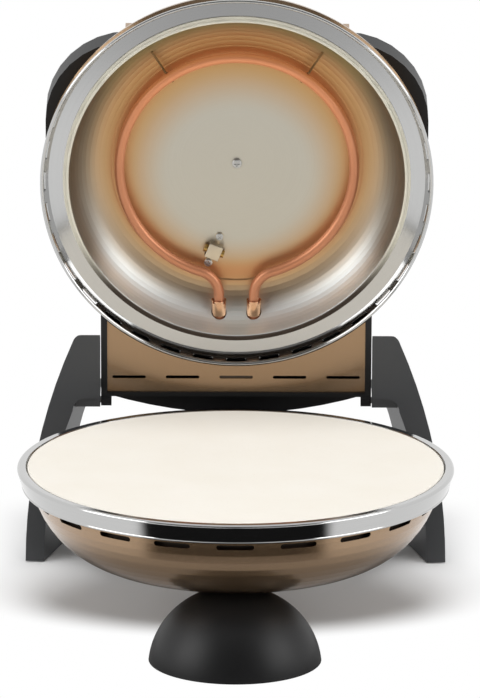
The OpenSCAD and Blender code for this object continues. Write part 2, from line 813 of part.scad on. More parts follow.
// Plan of a rear leg's pad, a bar along the foot
module rear_pad_shape(height, shrink) {
    wide = leg_foot_w - 2 * pad_in;
    long = leg_foot_l - 2 * pad_end;
    translate([leg_pivot_x, leg_y, 0])
        rotate([0, 0, leg_toe])
            translate([shrink - wide / 2, pad_end + shrink, -over])
                cube([wide - 2 * shrink, long - 2 * shrink, height + over]);
}

// Rubber pads under the front foot and the two legs
module foot_pads() {
    top = foot_low + pad_sunk;
    color("#101010") {
        front_pad_shape(top, fit_gap);
        for (side = [0, 1])
            mirror([side, 0, 0])
                intersection() {
                    rear_pad_shape(top, fit_gap);
                    cube([2 * leg_half_w, 2 * leg_y, rim_z]);
                }
    }
}

// Two steel pins that join the lid's knuckles to the legs
module hinge_pins() {
    color("silver")
        for (side = [0, 1])
            mirror([side, 0, 0])
                translate([box_half_w - pin_in, hinge_y, hinge_z])
                    rotate([0, 90, 0]) cylinder(r = pin_r, h = pin_in + leg_gap + pin_out, $fn = 48);
}

// Steel plate that ties the legs together and holds the back of the bowl
module rear_bracket() {
    front_y = hinge_y - hinge_in / 2;
    front_x = leg_inner_at(bracket_top, front_y) - bracket_t;
    rear_x = leg_inner_at(bracket_top, bracket_rear) - bracket_t;
    under = (bowl_side_radius(bracket_d) - bracket_t) * sin(45);
    shelf_x = leg_inner_x(bracket_z) - shelf_w - fit_gap;
    color("#8b8d90")
        difference() {
            union() {
                translate([0, 0, bracket_z])
                    linear_extrude(bracket_t)
                        polygon([
                            [-front_x, front_y], [-rear_x, bracket_rear], [rear_x, bracket_rear],
                            [front_x, front_y], [under, under], [-under, under]
                        ]);
                translate([-shelf_x, bracket_rear - bracket_t, bracket_z - shelf_h])
                    cube([2 * shelf_x, bracket_t, shelf_h + bracket_t / 2]);
                intersection() {
                    bowl_space(bracket_t + fit_gap / 2);
                    for (side = [0, 1])
                        mirror([side, 0, 0])
                            translate([terminal_half_w + bracket_t, under, bracket_z])
                                cube([1.5 * terminal_half_w, under, bracket_flange_h]);
                }
            }
            bowl_space(fit_gap / 2);
            for (side = [-1, 1])
                translate([side * bracket_screw_x, hinge_y + bracket_screw_y, bracket_z - over])
                    cylinder(r = screw_r + fit_gap, h = bracket_t + 2 * over, $fn = 24);
        }
}

// Moulded cover over the lower element's terminals, open to the bowl and the plate
module terminal_cover() {
    front = bowl_side_radius(bracket_d) - 6 * bracket_t;
    color("#1b1b1c")
        difference() {
            translate([-terminal_half_w, front, bracket_top])
                cube([2 * terminal_half_w, terminal_back - front, terminal_h]);
            bowl_space(fit_gap);
            translate([terminal_t - terminal_half_w, front - over, bracket_top - over])
                cube([
                    2 * (terminal_half_w - terminal_t),
                    terminal_back - terminal_t - front + over,
                    terminal_h - terminal_t + over
                ]);
            translate([0, terminal_back - 2 * terminal_t, bracket_top + terminal_h / 2])
                rotate([-90, 0, 0]) cylinder(r = cord_r + gland_t + fit_gap, h = 3 * terminal_t, $fn = 48);
        }
}

// Row of wire holes through a ceramic block along Y
module wire_holes(pitch, long, up) {
    for (i = [-1 : 1])
        translate([i * pitch, -over, up])
            rotate([-90, 0, 0]) cylinder(r = screw_r, h = long + 2 * over, $fn = 24);
}

// Ceramic terminal block on the bracket
module terminal_block() {
    pitch = 13;
    size = [3 * pitch + 1, 12, 14];
    color("white")
        translate([0, hinge_y - size[1] - 3, bracket_top])
            difference() {
                translate([-size[0] / 2, 0, 0]) cube(size);
                wire_holes(pitch, size[1], 5);
                for (i = [-1 : 1])
                    translate([i * pitch, size[1] / 2, 5]) cylinder(r = 1.6, h = size[2], $fn = 24);
            }
}

// Gland for the mains cord in the back of the terminal cover
module cord_gland() {
    inside = 3;
    outside = 8.5;
    color("#141414")
        translate([0, terminal_back - terminal_t, bracket_top + terminal_h / 2])
            rotate([-90, 0, 0])
                difference() {
                    union() {
                        translate([0, 0, -inside])
                            cylinder(r = cord_r + gland_t, h = inside + terminal_t + outside, $fn = 48);
                        translate([0, 0, terminal_t])
                            cylinder(r = cord_r + gland_t + 2, h = terminal_t, $fn = 48);
                        translate([0, 0, -inside])
                            cylinder(r = cord_r + gland_t + 1.6, h = inside, $fn = 48);
                    }
                    translate([0, 0, -inside - over])
                        cylinder(r = cord_r, h = inside + terminal_t + outside + 2 * over, $fn = 48);
                }
}

// Screws that hold the bracket to the legs
module bracket_screws() {
    color("silver")
        for (side = [-1, 1])
            translate([side * bracket_screw_x, hinge_y + bracket_screw_y, bracket_top])
                screw(bracket_t + shelf_h - 4);
}

// Screw that holds the front foot to the bowl
module foot_screws() {
    color("silver")
        translate([0, -foot_screw_y, foot_boss_low])
            rotate([180, 0, 0]) screw(foot_boss_t + sheet_t + 3);
}

// Chrome ring of the lid: rolled edge, slotted skirt and flat flange
module lid_ring() {
    roll = [lid_r - lid_roll_r, lid_roll_r];
    lean = atan2(roll[0] - skirt_in_r, skirt_h - roll[1]);
    inner_a = lean + acos(1 - ring_t / lid_roll_r) - 360;
    color("gainsboro")
        difference() {
            translate([0, 0, lid_z])
                rotate_extrude($fn = 144)
                    polygon(concat(
                        [[skirt_in_r, skirt_h], [flange_in_r, skirt_h], [flange_in_r, skirt_h + ring_t]],
                        [[skirt_in_r + ring_t, skirt_h + ring_t]],
                        arc_pts(roll, lid_roll_r, lean, inner_a, 12)
                    ));
            for (i = [0 : lid_slots - 1])
                rotate([0, 0, 360 * i / lid_slots - 90])
                    translate([0, 0, lid_z + lid_slot_up])
                        slot_cut(lid_slot_l, lid_slot_h, skirt_in_r - 6, lid_r + 4);
        }
}

// Painted outer shell of the lid, with an inturned rim behind the ring's slots
module lid_shell() {
    rim_h = skirt_h + ring_t;
    inner = reversed(dome_pts(sheet_t));
    color("peru")
        difference() {
            translate([0, 0, lid_z])
                rotate_extrude($fn = 144)
                    polygon(concat(
                        dome_pts(0),
                        [for (i = [0 : len(inner) - 2]) inner[i]],
                        [[shell_r - sheet_t * (1 + sin(shell_lean)), rim_h + sheet_t]],
                        [[shell_r - shell_rim_w, rim_h + sheet_t], [shell_r - shell_rim_w, rim_h]]
                    ));
            translate([0, 0, lid_z + upper_h]) shell_wire_holes();
            translate([0, 0, lid_z + disc_low]) cylinder(r = screw_r + fit_gap, h = shell_h, $fn = 24);
        }
}

// Holes for the wires that run from the tails into the housing
module shell_wire_holes() {
    for (side = [-1, 1])
        translate([side * tail_x, dish_r - 10, 0])
            rotate([-90, 0, 0]) cylinder(r = 4, h = 30, $fn = 24);
}

// Bright dish inside the lid: rolled lip, round corner and raised disc
module lid_dish() {
    corner = [disc_r, dish_mouth_h];
    bead = [dish_r + dish_roll_r, skirt_h - dish_roll_r];
    color("darkgray")
        difference() {
            translate([0, 0, lid_z])
                rotate_extrude($fn = 144)
                    polygon(concat(
                        [[flange_in_r + 2, skirt_h - sheet_t], [flange_in_r + 2, skirt_h]],
                        [[dish_r + sheet_t, skirt_h]],
                        arc_pts(corner, dish_corner_r + sheet_t, 0, 90, arc_steps),
                        [[disc_r - sheet_t, disc_low + sheet_t], [0, disc_low + sheet_t]],
                        [[0, disc_low], [disc_r - sheet_t, disc_low]],
                        arc_pts(corner, dish_corner_r, 90, 0, arc_steps),
                        arc_pts(bead, dish_roll_r, 180, 360, 8)
                    ));
            for (side = [-1, 1])
                translate([side * tail_x, dish_wall_radius(upper_h) - ferrule_l, lid_z + upper_h])
                    rotate([-90, 0, 0]) cylinder(r = ferrule_r + fit_gap, h = 2 * ferrule_l, $fn = 48);
        }
}

// Bent heating tube in the lid
module upper_element() {
    color("salmon")
        translate([0, 0, lid_z + upper_h])
            element_tube(upper_r, dish_wall_radius(upper_h) + tail_out);
}

// Two strip clips that hold the upper element off the disc
module element_clips() {
    seat = upper_h - tube_d / 2 - run_gap;
    inner_r = upper_r - tube_d / 2 - 2 * sheet_t;
    outer_r = dish_wall_radius(seat) - fit_gap;
    color("tan")
        for (side = [-1, 1])
            rotate([0, 0, -90 + side * clip_angle])
                translate([0, -clip_w / 2, lid_z]) {
                    translate([inner_r, 0, seat - sheet_t]) cube([outer_r - inner_r, clip_w, sheet_t]);
                    translate([inner_r, 0, seat - sheet_t]) cube([sheet_t, clip_w, disc_low - seat + sheet_t]);
                }
}

// Metal ferrules where the tails go through the dish
module element_ferrules() {
    inner_y = dish_wall_radius(upper_h) - ferrule_l + 2;
    color("silver")
        for (side = [-1, 1])
            translate([side * tail_x, inner_y, lid_z + upper_h])
                rotate([-90, 0, 0])
                    difference() {
                        union() {
                            cylinder(r = ferrule_r, h = ferrule_l, $fn = 48);
                            translate([0, 0, -1.5]) cylinder(r = ferrule_r - 0.8, h = ferrule_l, $fn = 48);
                        }
                        translate([0, 0, -2 * over])
                            cylinder(d = tube_d + 2 * run_gap, h = ferrule_l + 4 * over, $fn = 48);
                    }
}

// Places a shape on the disc at the limiter, with +X along its clamp
module at_limiter() {
    translate([-17.4, disc_r - 25.6, lid_z + disc_low])
        rotate([180, 0, 112])
            children();
}

// Thermal limiter's bulb under its clamp
module limiter_bulb() {
    color("#b08050")
        at_limiter()
            translate([0, 0, 3.2]) rotate([90, 0, 0]) cylinder(r = 3, h = 16, center = true, $fn = 32);
}

// Bent strap that clamps the bulb to the disc
module limiter_clamp() {
    color("silver")
        at_limiter()
            difference() {
                union() {
                    translate([-16, -5.5, 0]) cube([32, 11, 0.8]);
                    translate([-6, -5.5, 0]) cube([12, 11, 7.4]);
                }
                translate([-5.2, -6, -over]) cube([10.4, 12, 6.6 + over]);
                for (x = [-11.5, 11.5]) translate([x, 0, -over]) cylinder(r = 1.6, h = 4, $fn = 24);
            }
}

// Tube between the dish and the shell, round the centre screw
module lid_spacer() {
    low = disc_low + sheet_t;
    color("silver")
        translate([0, 0, lid_z + low])
            difference() {
                cylinder(r = 3 * screw_r, h = shell_h - sheet_t - low - fit_gap, $fn = 32);
                translate([0, 0, -over]) cylinder(r = screw_r + fit_gap, h = shell_h, $fn = 24);
            }
}

// Screws in the dish: one at the centre and two on the limiter's clamp
module dish_screws() {
    color("lightgray") {
        translate([0, 0, lid_z + disc_low])
            rotate([180, 0, 0]) cylinder(r = screw_head_r, h = screw_head_h, $fn = 32);
        at_limiter()
            for (x = [-11.5, 11.5]) translate([x, 0, 0.8]) {
                cylinder(r = 3, h = 1.6, $fn = 24);
                translate([0, 0, -0.8]) cylinder(r = 1.5, h = 0.9, $fn = 24);
            }
    }
}

// Half plan of the housing from the front's middle round to the back's middle, moved inwards by inset
function housing_half(inset) =
    let (
        corner = [grip_half_w - grip_corner_r, grip_corner_r - housing_front],
        tail = [grip_half_w - grip_tail_r, grip_tail_y],
        side_x = box_half_w - inset,
        corner_in = max(box_corner_r, inset + 0.5),
        tail_end = tail + (grip_tail_r - inset) * [cos(45), sin(45)],
        join_y = tail_end[1] + tail_end[0] - side_x
    )
    concat(
        arc_pts(corner, grip_corner_r - inset, -90, 0, 8),
        arc_pts(tail, grip_tail_r - inset, 0, 45, 6),
        [[side_x, join_y]],
        arc_pts([box_half_w - corner_in, box_rear - corner_in], corner_in - inset, 0, 90, 4)
    );

// Whole plan of the housing, with the back bowed by bow
module housing_plan(inset, bow) {
    half = housing_half(inset);
    rear_x = box_half_w - max(box_corner_r, inset + 0.5);
    back = [for (i = [1 : 11]) let (t = 1 - i / 6) [t * rear_x, box_rear - inset + bow * (1 - t * t)]];
    polygon(concat(half, back, [for (i = [len(half) - 1 : -1 : 0]) [-half[i][0], half[i][1]]]));
}

// Outside of the housing: the low hinge box and the high cap with its grips
module housing_body() {
    wide = 2 * lid_r;
    intersection() {
        union() {
            translate([0, 0, lid_z + bow_up]) linear_extrude(housing_h - bow_up) housing_plan(0, box_bow);
            translate([0, 0, lid_z + box_low]) linear_extrude(housing_h - box_low) housing_plan(0, 0);
        }
        union() {
            translate([-box_half_w, box_front, lid_z]) cube([2 * box_half_w, box_rear, housing_h]);
            translate([-wide, -wide, lid_z + grip_low]) cube([2 * wide, 2 * wide, housing_h]);
        }
    }
}

// Inside of the housing: the hollow of the cap, the hollow of the hinge box and the opening under its panel
module housing_hollow() {
    wide = box_half_w - housing_t;
    translate([0, 0, lid_z + grip_low + housing_t])
        linear_extrude(housing_h - grip_low - 2 * housing_t) housing_plan(housing_t, 0);
    intersection() {
        union() {
            translate([0, 0, lid_z + panel_low])
                linear_extrude(housing_h - housing_t - panel_low) housing_plan(housing_t, 0);
            translate([0, 0, lid_z + bow_up + housing_t])
                linear_extrude(housing_h - 2 * housing_t - bow_up) housing_plan(housing_t, box_bow);
        }
        translate([-wide, box_front - housing_t, lid_z]) cube([2 * wide, box_rear, housing_h]);
    }
    translate([panel_side_w - box_half_w, box_front, lid_z])
        cube([2 * (box_half_w - panel_side_w), box_rear - panel_rear_w - box_front, panel_low + over]);
}

// Bosses under the housing's top for the cover's screws
module housing_bosses() {
    for (p = cover_screw_places())
        translate([p[0], p[1], lid_z + housing_h - cover_boss_h])
            cylinder(r = 2 * screw_r, h = cover_boss_h - over, $fn = 32);
}

// Moulded housing: hinge box behind the lid, cap over the shell and a grip at each side
module lid_housing() {
    top = lid_z + housing_h;
    color("#1b1b1c")
        difference() {
            union() {
                difference() {
                    union() {
                        housing_body();
                        for (side = [0, 1]) mirror([side, 0, 0]) hinge_knuckle();
                    }
                    housing_hollow();
                }
                housing_bosses();
            }
            lid_space(fit_gap);
            for (side = [-1, 1])
                translate([side * (box_half_w - pin_in - over / 2), hinge_y, hinge_z])
                    rotate([0, side * 90, 0]) cylinder(r = pin_r + run_gap, h = knuckle_l, $fn = 48);
            translate([0, knob_y, top - 2 * housing_t]) cylinder(r = shaft_r + 2, h = 3 * housing_t, $fn = 32);
            translate([lamp_x, knob_y, top - 2 * housing_t])
                cylinder(r = lamp_r - 1, h = 3 * housing_t, $fn = 32);
            for (p = cover_screw_places())
                translate([p[0], p[1], top - cover_boss_h - over])
                    cylinder(r = screw_r + 0.1, h = cover_boss_h + 2 * over, $fn = 24);
        }
}

// Squared knuckle under the housing's side wall, with the web that joins it to the wall
module hinge_knuckle() {
    r = knuckle_r;
    translate([box_half_w - knuckle_l, 0, 0])
        rotate([90, 0, 90])
            linear_extrude(knuckle_l) {
                translate([hinge_y, hinge_z]) {
                    circle(r = r, $fn = 48);
                    translate([-r, -r / 2]) square([2 * r, r]);
                    translate([-r / 2, -r]) square([r, 2 * r]);
                }
                polygon([
                    [hinge_y - 2 * r, lid_z + box_low], [hinge_y, hinge_z - r + fit_gap],
                    [hinge_y + r - fit_gap, hinge_z + r / 2], [box_rear - over, hinge_z + 3 * r],
                    [hinge_y - 2 * r, hinge_z + 3 * r]
                ]);
            }
}

// Block inside the housing's walls at the height of the underside panel, moved inwards by shrink
module panel_block(shrink, low, high) {
    translate([0, 0, lid_z + low])
        linear_extrude(high - low)
            intersection() {
                housing_plan(housing_t + fit_gap + shrink, 0);
                translate([shrink - panel_half_w, box_front - shrink])
                    square([2 * (panel_half_w - shrink), box_rear]);
            }
}

// Painted panel that closes the housing's underside, with a row of slots
module underside_panel() {
    low = lid_z + panel_low;
    slot_y = panel_rear - panel_slot_in;
    color("burlywood")
        difference() {
            panel_block(0, panel_low, panel_low + panel_edge_h);
            panel_block(sheet_t, panel_low + sheet_t, panel_low + panel_edge_h + over);
            translate([0, 0, lid_z - over]) cylinder(r = lid_r + shell_in, h = housing_h, $fn = 144);
            for (i = [0 : panel_slots - 1])
                translate([(i - (panel_slots - 1) / 2) * panel_slot_pitch, slot_y, low - over])
                    linear_extrude(2 * over + sheet_t) {
                        square([panel_slot_l - panel_slot_h, panel_slot_h], center = true);
                        for (side = [-1, 1])
                            translate([side * (panel_slot_l - panel_slot_h) / 2, 0])
                                circle(d = panel_slot_h, $fn = 24);
                    }
        }
}

// Painted cover along the top of the housing, with a lip turned down at the front
module top_cover() {
    front = -housing_front - cover_over;
    low = lid_z + housing_h;
    color("peru")
        difference() {
            union() {
                translate([0, 0, low])
                    linear_extrude(sheet_t)
                        polygon([
                            [-cover_front_half_w, front], [cover_front_half_w, front],
                            [cover_rear_half_w, cover_rear], [-cover_rear_half_w, cover_rear]
                        ]);
                translate([-cover_front_half_w, front, low - cover_lip_h])
                    cube([2 * cover_front_half_w, sheet_t, cover_lip_h + sheet_t / 2]);
            }
            lid_space(fit_gap);
            translate([0, knob_y, low - over]) cylinder(r = shaft_r + 1.5, h = sheet_t + 2 * over, $fn = 32);
            translate([lamp_x, knob_y, low - over])
                cylinder(r = lamp_r + fit_gap / 2, h = sheet_t + 2 * over, $fn = 32);
            for (p = cover_screw_places())
                translate([p[0], p[1], low - over])
                    cylinder(r = screw_r + 0.1, h = sheet_t + 2 * over, $fn = 24);
        }
}

// Places of the screws in the top cover
function cover_screw_places() = [
    for (side = [-1, 1], rear = [0, 1])
        [
            side * ((rear == 1 ? cover_rear_half_w : cover_front_half_w) - cover_screw_in),
            rear == 1 ? cover_rear - cover_screw_in : cover_screw_in - housing_front
        ]
];

// Screws that hold the top cover to the housing
module cover_screws() {
    color("silver")
        for (p = cover_screw_places())
            translate([p[0], p[1], lid_z + cover_top]) screw(cover_boss_h - 2);
}

// Thermostat under the housing's top, with a bush for the shaft
module thermostat() {
    top = lid_z + housing_h - housing_t;
    color("#c9b26a")
        difference() {
            union() {
                translate([0, knob_y, top - 2]) cylinder(r = thermostat_r + 3, h = 2, $fn = 64);
                translate([0, knob_y, top - thermostat_h])
                    cylinder(r = thermostat_r, h = thermostat_h - 1, $fn = 64);
                for (side = [-1, 1])
                    translate([side * thermostat_r / 2 - 3, knob_y - 0.5, top - thermostat_h - 8])
                        cube([6, 1, 9]);
            }
            lid_space(fit_gap);
            translate([0, knob_y, top - shaft_in - over])
                cylinder(r = shaft_r + run_gap, h = 2 * shaft_in, $fn = 48);
        }
}

// Ceramic terminal block on the floor of the housing
module lid_terminals() {
    pitch = 16;
    size = [3 * pitch, 12, 15];
    color("white")
        translate([0, box_rear - housing_t - size[1] - 2, lid_z + panel_low + sheet_t])
            difference() {
                translate([-size[0] / 2, 0, 0]) cube(size);
                wire_holes(pitch, size[1], 6);
            }
}

// Pilot lamp beside the knob
module pilot_lamp() {
    low = lid_z + housing_h;
    body_h = 16;
    color("orange")
        translate([lamp_x, knob_y, 0]) {
            translate([0, 0, low]) cylinder(r = lamp_r, h = sheet_t + 1.5, $fn = 48);
            translate([0, 0, low - body_h]) cylinder(r = lamp_r - 1 - fit_gap, h = body_h + over, $fn = 48);
        }
}

// Steel shaft from the thermostat to the knob
module knob_shaft() {
    low = lid_z + housing_h - housing_t - shaft_in;
    color("silver")
        translate([0, knob_y, low])
            cylinder(r = shaft_r, h = shaft_in + housing_t + sheet_t + knob_bore_h - over, $fn = 48);
}

// Round control knob with a skirt and a grip bar
module control_knob() {
    low = lid_z + cover_top + knob_gap;
    top_r = knob_r - knob_skirt_h;
    color("#161616")
        translate([0, knob_y, low])
            difference() {
                union() {
                    cylinder(r = knob_r, h = knob_skirt_h, $fn = 64);
                    cylinder(r = top_r, h = knob_h * 0.55, $fn = 64);
                    intersection() {
                        cylinder(r = top_r, h = knob_h, $fn = 64);
                        translate([-knob_bar_w / 2, -knob_r, 0]) cube([knob_bar_w, 2 * knob_r, knob_h]);
                    }
                }
                translate([0, 0, -over])
                    cylinder(r = shaft_r + fit_gap / 10, h = knob_bore_h + over, $fn = 48);
            }
}

placed() base_ring();
placed() baking_stone();
placed() bowl();
placed() inner_pan();
placed() lower_element();
placed() lower_clips();
placed() pan_bushes();
placed() front_foot();
placed() leg_left();
placed() leg_right();
placed() foot_pads();
placed() hinge_pins();
placed() rear_bracket();
placed() terminal_cover();
placed() terminal_block();
placed() cord_gland();
placed() bracket_screws();
placed() foot_screws();
opened() lid_ring();
opened() lid_shell();
opened() lid_dish();
opened() upper_element();
opened() element_clips();
opened() element_ferrules();
opened() limiter_bulb();
opened() limiter_clamp();
opened() lid_spacer();
opened() dish_screws();
opened() lid_housing();
opened() underside_panel();
opened() top_cover();
opened() cover_screws();
opened() thermostat();
opened() lid_terminals();
opened() pilot_lamp();
opened() knob_shaft();
opened() control_knob();
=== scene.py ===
"""Looks of the electric pizza maker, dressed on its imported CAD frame.

Every length is in metres. The bowl's axis is ahead of the object's middle, and the front is towards -Y. The
pieces of the lid are drawn closed over the stone and then swung up about the hinge.
"""

import json
import logging
import math
from contextlib import contextmanager
from dataclasses import dataclass, field
from enum import Enum
from typing import Callable, Iterator, Optional, Sequence

import bmesh
import bpy
from mathutils import Matrix, Vector


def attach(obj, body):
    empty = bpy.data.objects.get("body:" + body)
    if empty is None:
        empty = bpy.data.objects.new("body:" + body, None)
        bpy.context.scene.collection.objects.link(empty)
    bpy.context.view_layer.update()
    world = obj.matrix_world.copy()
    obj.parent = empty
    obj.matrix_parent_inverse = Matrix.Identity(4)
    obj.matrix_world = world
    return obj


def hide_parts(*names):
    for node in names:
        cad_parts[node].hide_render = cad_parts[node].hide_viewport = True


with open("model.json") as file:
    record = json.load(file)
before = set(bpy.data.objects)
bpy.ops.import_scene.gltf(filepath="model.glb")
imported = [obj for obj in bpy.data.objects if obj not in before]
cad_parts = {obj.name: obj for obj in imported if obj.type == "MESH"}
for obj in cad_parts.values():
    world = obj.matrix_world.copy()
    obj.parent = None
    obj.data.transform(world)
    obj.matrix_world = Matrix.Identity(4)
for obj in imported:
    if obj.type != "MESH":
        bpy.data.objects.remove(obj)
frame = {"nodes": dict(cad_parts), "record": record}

log = logging.getLogger("pizza_maker")

Colour = tuple[float, float, float]
Pair = tuple[float, float]
Triple = tuple[float, float, float]
MM = 0.001
SLOTS: dict[str, str] = {row["node"]: row["material_slot"] for row in frame["record"]["subparts"]}


def linear(red: int, green: int, blue: int) -> Colour:
    """Turns an sRGB colour written 0 to 255 into Blender's linear values."""
    shares = (red / 255, green / 255, blue / 255)
    return tuple(c / 12.92 if c <= 0.04 else ((c + 0.055) / 1.055) ** 2.4 for c in shares)


def darker(colour: Colour, share: float) -> Colour:
    """Scales a colour down to a share of its brightness."""
    return tuple(c * share for c in colour)


@dataclass(frozen=True)
class Layout:
    """Main sizes of the cooker, as the CAD has them."""

    bowl_ahead: float = 42.2 * MM
    rim_z: float = 125 * MM
    hinge_y: float = 178 * MM
    hinge_z: float = 127.5 * MM
    lid_gap: float = 0.4 * MM
    lid_open: float = math.radians(82)
    cover_top: float = 62.2 * MM
    disc_low: float = 45.6 * MM
    knob_y: float = 128 * MM
    limiter_x: float = -17.4 * MM
    limiter_y: float = 71 * MM
    limiter_turn: float = math.radians(112)
    ear_x: float = 11.5 * MM
    strap_t: float = 0.8 * MM

    @property
    def base(self) -> Matrix:
        """Places a shape drawn about the bowl's axis, with z = 0 on the counter."""
        return Matrix.Translation((0, -self.bowl_ahead, 0))

    @property
    def lid(self) -> Matrix:
        """Places a shape drawn on the closed lid, with z = 0 at the edge of its ring, on the open lid.

        Returns:
            The placement.
        """
        hinge = Matrix.Translation((0, self.hinge_y, self.hinge_z))
        swing = hinge @ Matrix.Rotation(-self.lid_open, 4, "X") @ hinge.inverted()
        return self.base @ swing @ Matrix.Translation((0, 0, self.rim_z + self.lid_gap))

    @property
    def limiter(self) -> Matrix:
        """Places a shape on the dish at the limiter, with +X along its strap and +Z out of the dish.

        Returns:
            The placement.
        """
        spot = Matrix.Translation((self.limiter_x, self.limiter_y, self.disc_low))
        turn = Matrix.Rotation(self.limiter_turn, 4, "Z") @ Matrix.Rotation(math.pi, 4, "X")
        return self.lid @ spot @ turn


LAYOUT = Layout()


class Body(Enum):
    """Bodies of the CAD frame."""

    BASE = "base"
    LID = "lid"
    KNOB = "knob"


class Wire:
    """One output socket of a shader, with arithmetic."""

    def __init__(self, tree: "Tree", socket: bpy.types.NodeSocket) -> None:
        """Keeps the socket and the tree that it belongs to."""
        self.tree = tree
        self.socket = socket

    def _math(self, operation: str, *values: "Wire | float") -> "Wire":
        """Adds one Math node."""
        return self.tree.add("ShaderNodeMath", {"operation": operation}, *values)

    def __add__(self, other: "Wire | float") -> "Wire":
        """Adds."""
        return self._math("ADD", self, other)

    def __radd__(self, other: float) -> "Wire":
        """Adds."""
        return self._math("ADD", other, self)

    def __sub__(self, other: "Wire | float") -> "Wire":
        """Subtracts."""
        return self._math("SUBTRACT", self, other)

    def __rsub__(self, other: float) -> "Wire":
        """Subtracts."""
        return self._math("SUBTRACT", other, self)

    def __mul__(self, other: "Wire | float") -> "Wire":
        """Multiplies."""
        return self._math("MULTIPLY", self, other)

    def __rmul__(self, other: float) -> "Wire":
        """Multiplies."""
        return self._math("MULTIPLY", other, self)

    def __truediv__(self, other: "Wire | float") -> "Wire":
        """Divides."""
        return self._math("DIVIDE", self, other)

    def ramp(self, low: float, high: float) -> "Wire":
        """Goes smoothly from 0 at low to 1 at high."""
        kind = {"interpolation_type": "SMOOTHSTEP"}
        return self.tree.add("ShaderNodeMapRange", kind, self, low, high, 0.0, 1.0)

    def near(self, centre: float, width: float) -> "Wire":
        """Is 1 at centre and falls smoothly to 0 at width either side."""
        return 1 - (self - centre).size().ramp(0.0, width)

    def size(self) -> "Wire":
        """Drops the sign."""
        return self._math("ABSOLUTE", self)

    def root(self) -> "Wire":
        """Takes the square root."""
        return self._math("SQRT", self)


class Tree:
    """Builds the nodes of one material, or of the world."""

    def __init__(self, name: str, world: bool = False) -> None:
        """Makes an empty material or world with its output.

        Args:
            name: Its name.
            world: Whether it is a world.
        """
        self.material = bpy.data.worlds.new(name) if world else bpy.data.materials.new(name)
        self.material.use_nodes = True
        self.nodes = self.material.node_tree.nodes
        self.links = self.material.node_tree.links
        self.nodes.clear()
        self.output = self.nodes.new("ShaderNodeOutputWorld" if world else "ShaderNodeOutputMaterial")

    def add(self, kind: str, settings: dict, *values: object, out: int = 0, **named: object) -> Wire:
        """Adds a node.

        Args:
            kind: The node's type.
            settings: Its own properties, which are set first.
            *values: Numbers, colours or wires for its first sockets.
            out: Which output is used.
            **named: Values by socket name, with underscores for spaces.

        Returns:
            The chosen output.
        """
        node = self.nodes.new(kind)
        for key, value in settings.items():
            setattr(node, key, value)
        inputs = [s for s in node.inputs if s.enabled]
        for socket, value in zip(inputs, values):
            self._feed(socket, value)
        for key, value in named.items():
            self._feed(node.inputs[key.replace("_", " ")], value)
        return Wire(self, [s for s in node.outputs if s.enabled][out])

    def _feed(self, socket: bpy.types.NodeSocket, value: object) -> None:
        """Links or sets one input.

        Args:
            socket: The input.
            value: A number, colour, vector or wire.
        """
        if isinstance(value, Wire):
            self.links.new(value.socket, socket)
        elif isinstance(value, (int, float)):
            socket.default_value = value
        elif len(value) == 3 and socket.type == "RGBA":
            socket.default_value = (*value, 1.0)
        else:
            socket.default_value = value

    def place(self, matrix: Optional[Matrix] = None) -> Wire:
        """Gives a point's own coordinates.

        Args:
            matrix: The placement to undo, so that the point is in the drawing's frame.

        Returns:
            The point as a vector.
        """
        point = self.add("ShaderNodeTexCoord", {}, out=3)
        if matrix is None:
            return point
        back = matrix.inverted()
        shift, turn = tuple(back.to_translation()), tuple(back.to_euler())
        return self.add("ShaderNodeMapping", {}, point, shift, turn, (1, 1, 1))

    def split(self, point: Wire) -> tuple[Wire, Wire, Wire]:
        """Gives a vector's three parts."""
        node = self.add("ShaderNodeSeparateXYZ", {}, point).socket.node
        return tuple(Wire(self, s) for s in node.outputs)

    def ray(self, kind: str) -> Wire:
        """Is 1 for rays of a kind, such as Camera or Glossy, and else 0."""
        node = self.add("ShaderNodeLightPath", {}).socket.node
        return Wire(self, node.outputs[f"Is {kind} Ray"])

    def join(self, x: object, y: object, z: object) -> Wire:
        """Makes a vector of three parts."""
        return self.add("ShaderNodeCombineXYZ", {}, x, y, z)

    def radius(self, x: Wire, y: Wire) -> Wire:
        """Gives the distance from the z axis."""
        return (x * x + y * y).root()

    def noise(self, point: Wire, scale: float, detail: float = 2.0, rough: float = 0.5) -> Wire:
        """Gives smooth noise from 0 to 1."""
        return self.add("ShaderNodeTexNoise", {}, point, scale, detail, rough)

    def mix(self, share: object, a: object, b: object) -> Wire:
        """Mixes two colours."""
        return self.add("ShaderNodeMix", {"data_type": "RGBA"}, share, a, b)

    def bump(self, height: Wire, depth: float, strength: float = 1.0) -> Wire:
        """Turns a height from 0 to 1 into a normal, for a relief of this depth."""
        return self.add("ShaderNodeBump", {}, Strength=strength, Distance=depth, Height=height)

    def surface(self, **sockets: object) -> bpy.types.Material:
        """Finishes the material with one Principled shader, fed by socket name."""
        return self.finish(self.add("ShaderNodeBsdfPrincipled", {}, **sockets))

    def finish(self, shader: Wire) -> bpy.types.ID:
        """Links the last shader to the output and gives the finished material or world."""
        self.links.new(shader.socket, self.output.inputs[0])
        return self.material


@dataclass(frozen=True)
class Chrome:
    """Polished ring with faint turning lines round an axis."""

    name: str
    placement: Matrix
    colour: Colour = (0.56, 0.56, 0.555)

    def material(self) -> bpy.types.Material:
        """Builds the finish.

        Returns:
            The material.
        """
        tree = Tree(self.name)
        x, y, z = tree.split(tree.place(self.placement))
        radius = tree.radius(x, y)
        lines = tree.noise(tree.join(radius * 900, z * 900, x * 4), 1.0, 3.0)
        cloud = tree.noise(tree.join(x, y, z), 14.0, 2.0)
        return tree.surface(
            Base_Color=tree.mix(lines * 0.5, self.colour, darker(self.colour, 0.86)),
            Metallic=1.0,
            Roughness=0.06 + lines * 0.06 + cloud * 0.03,
            Normal=tree.bump(lines, 0.00002, 0.5),
        )


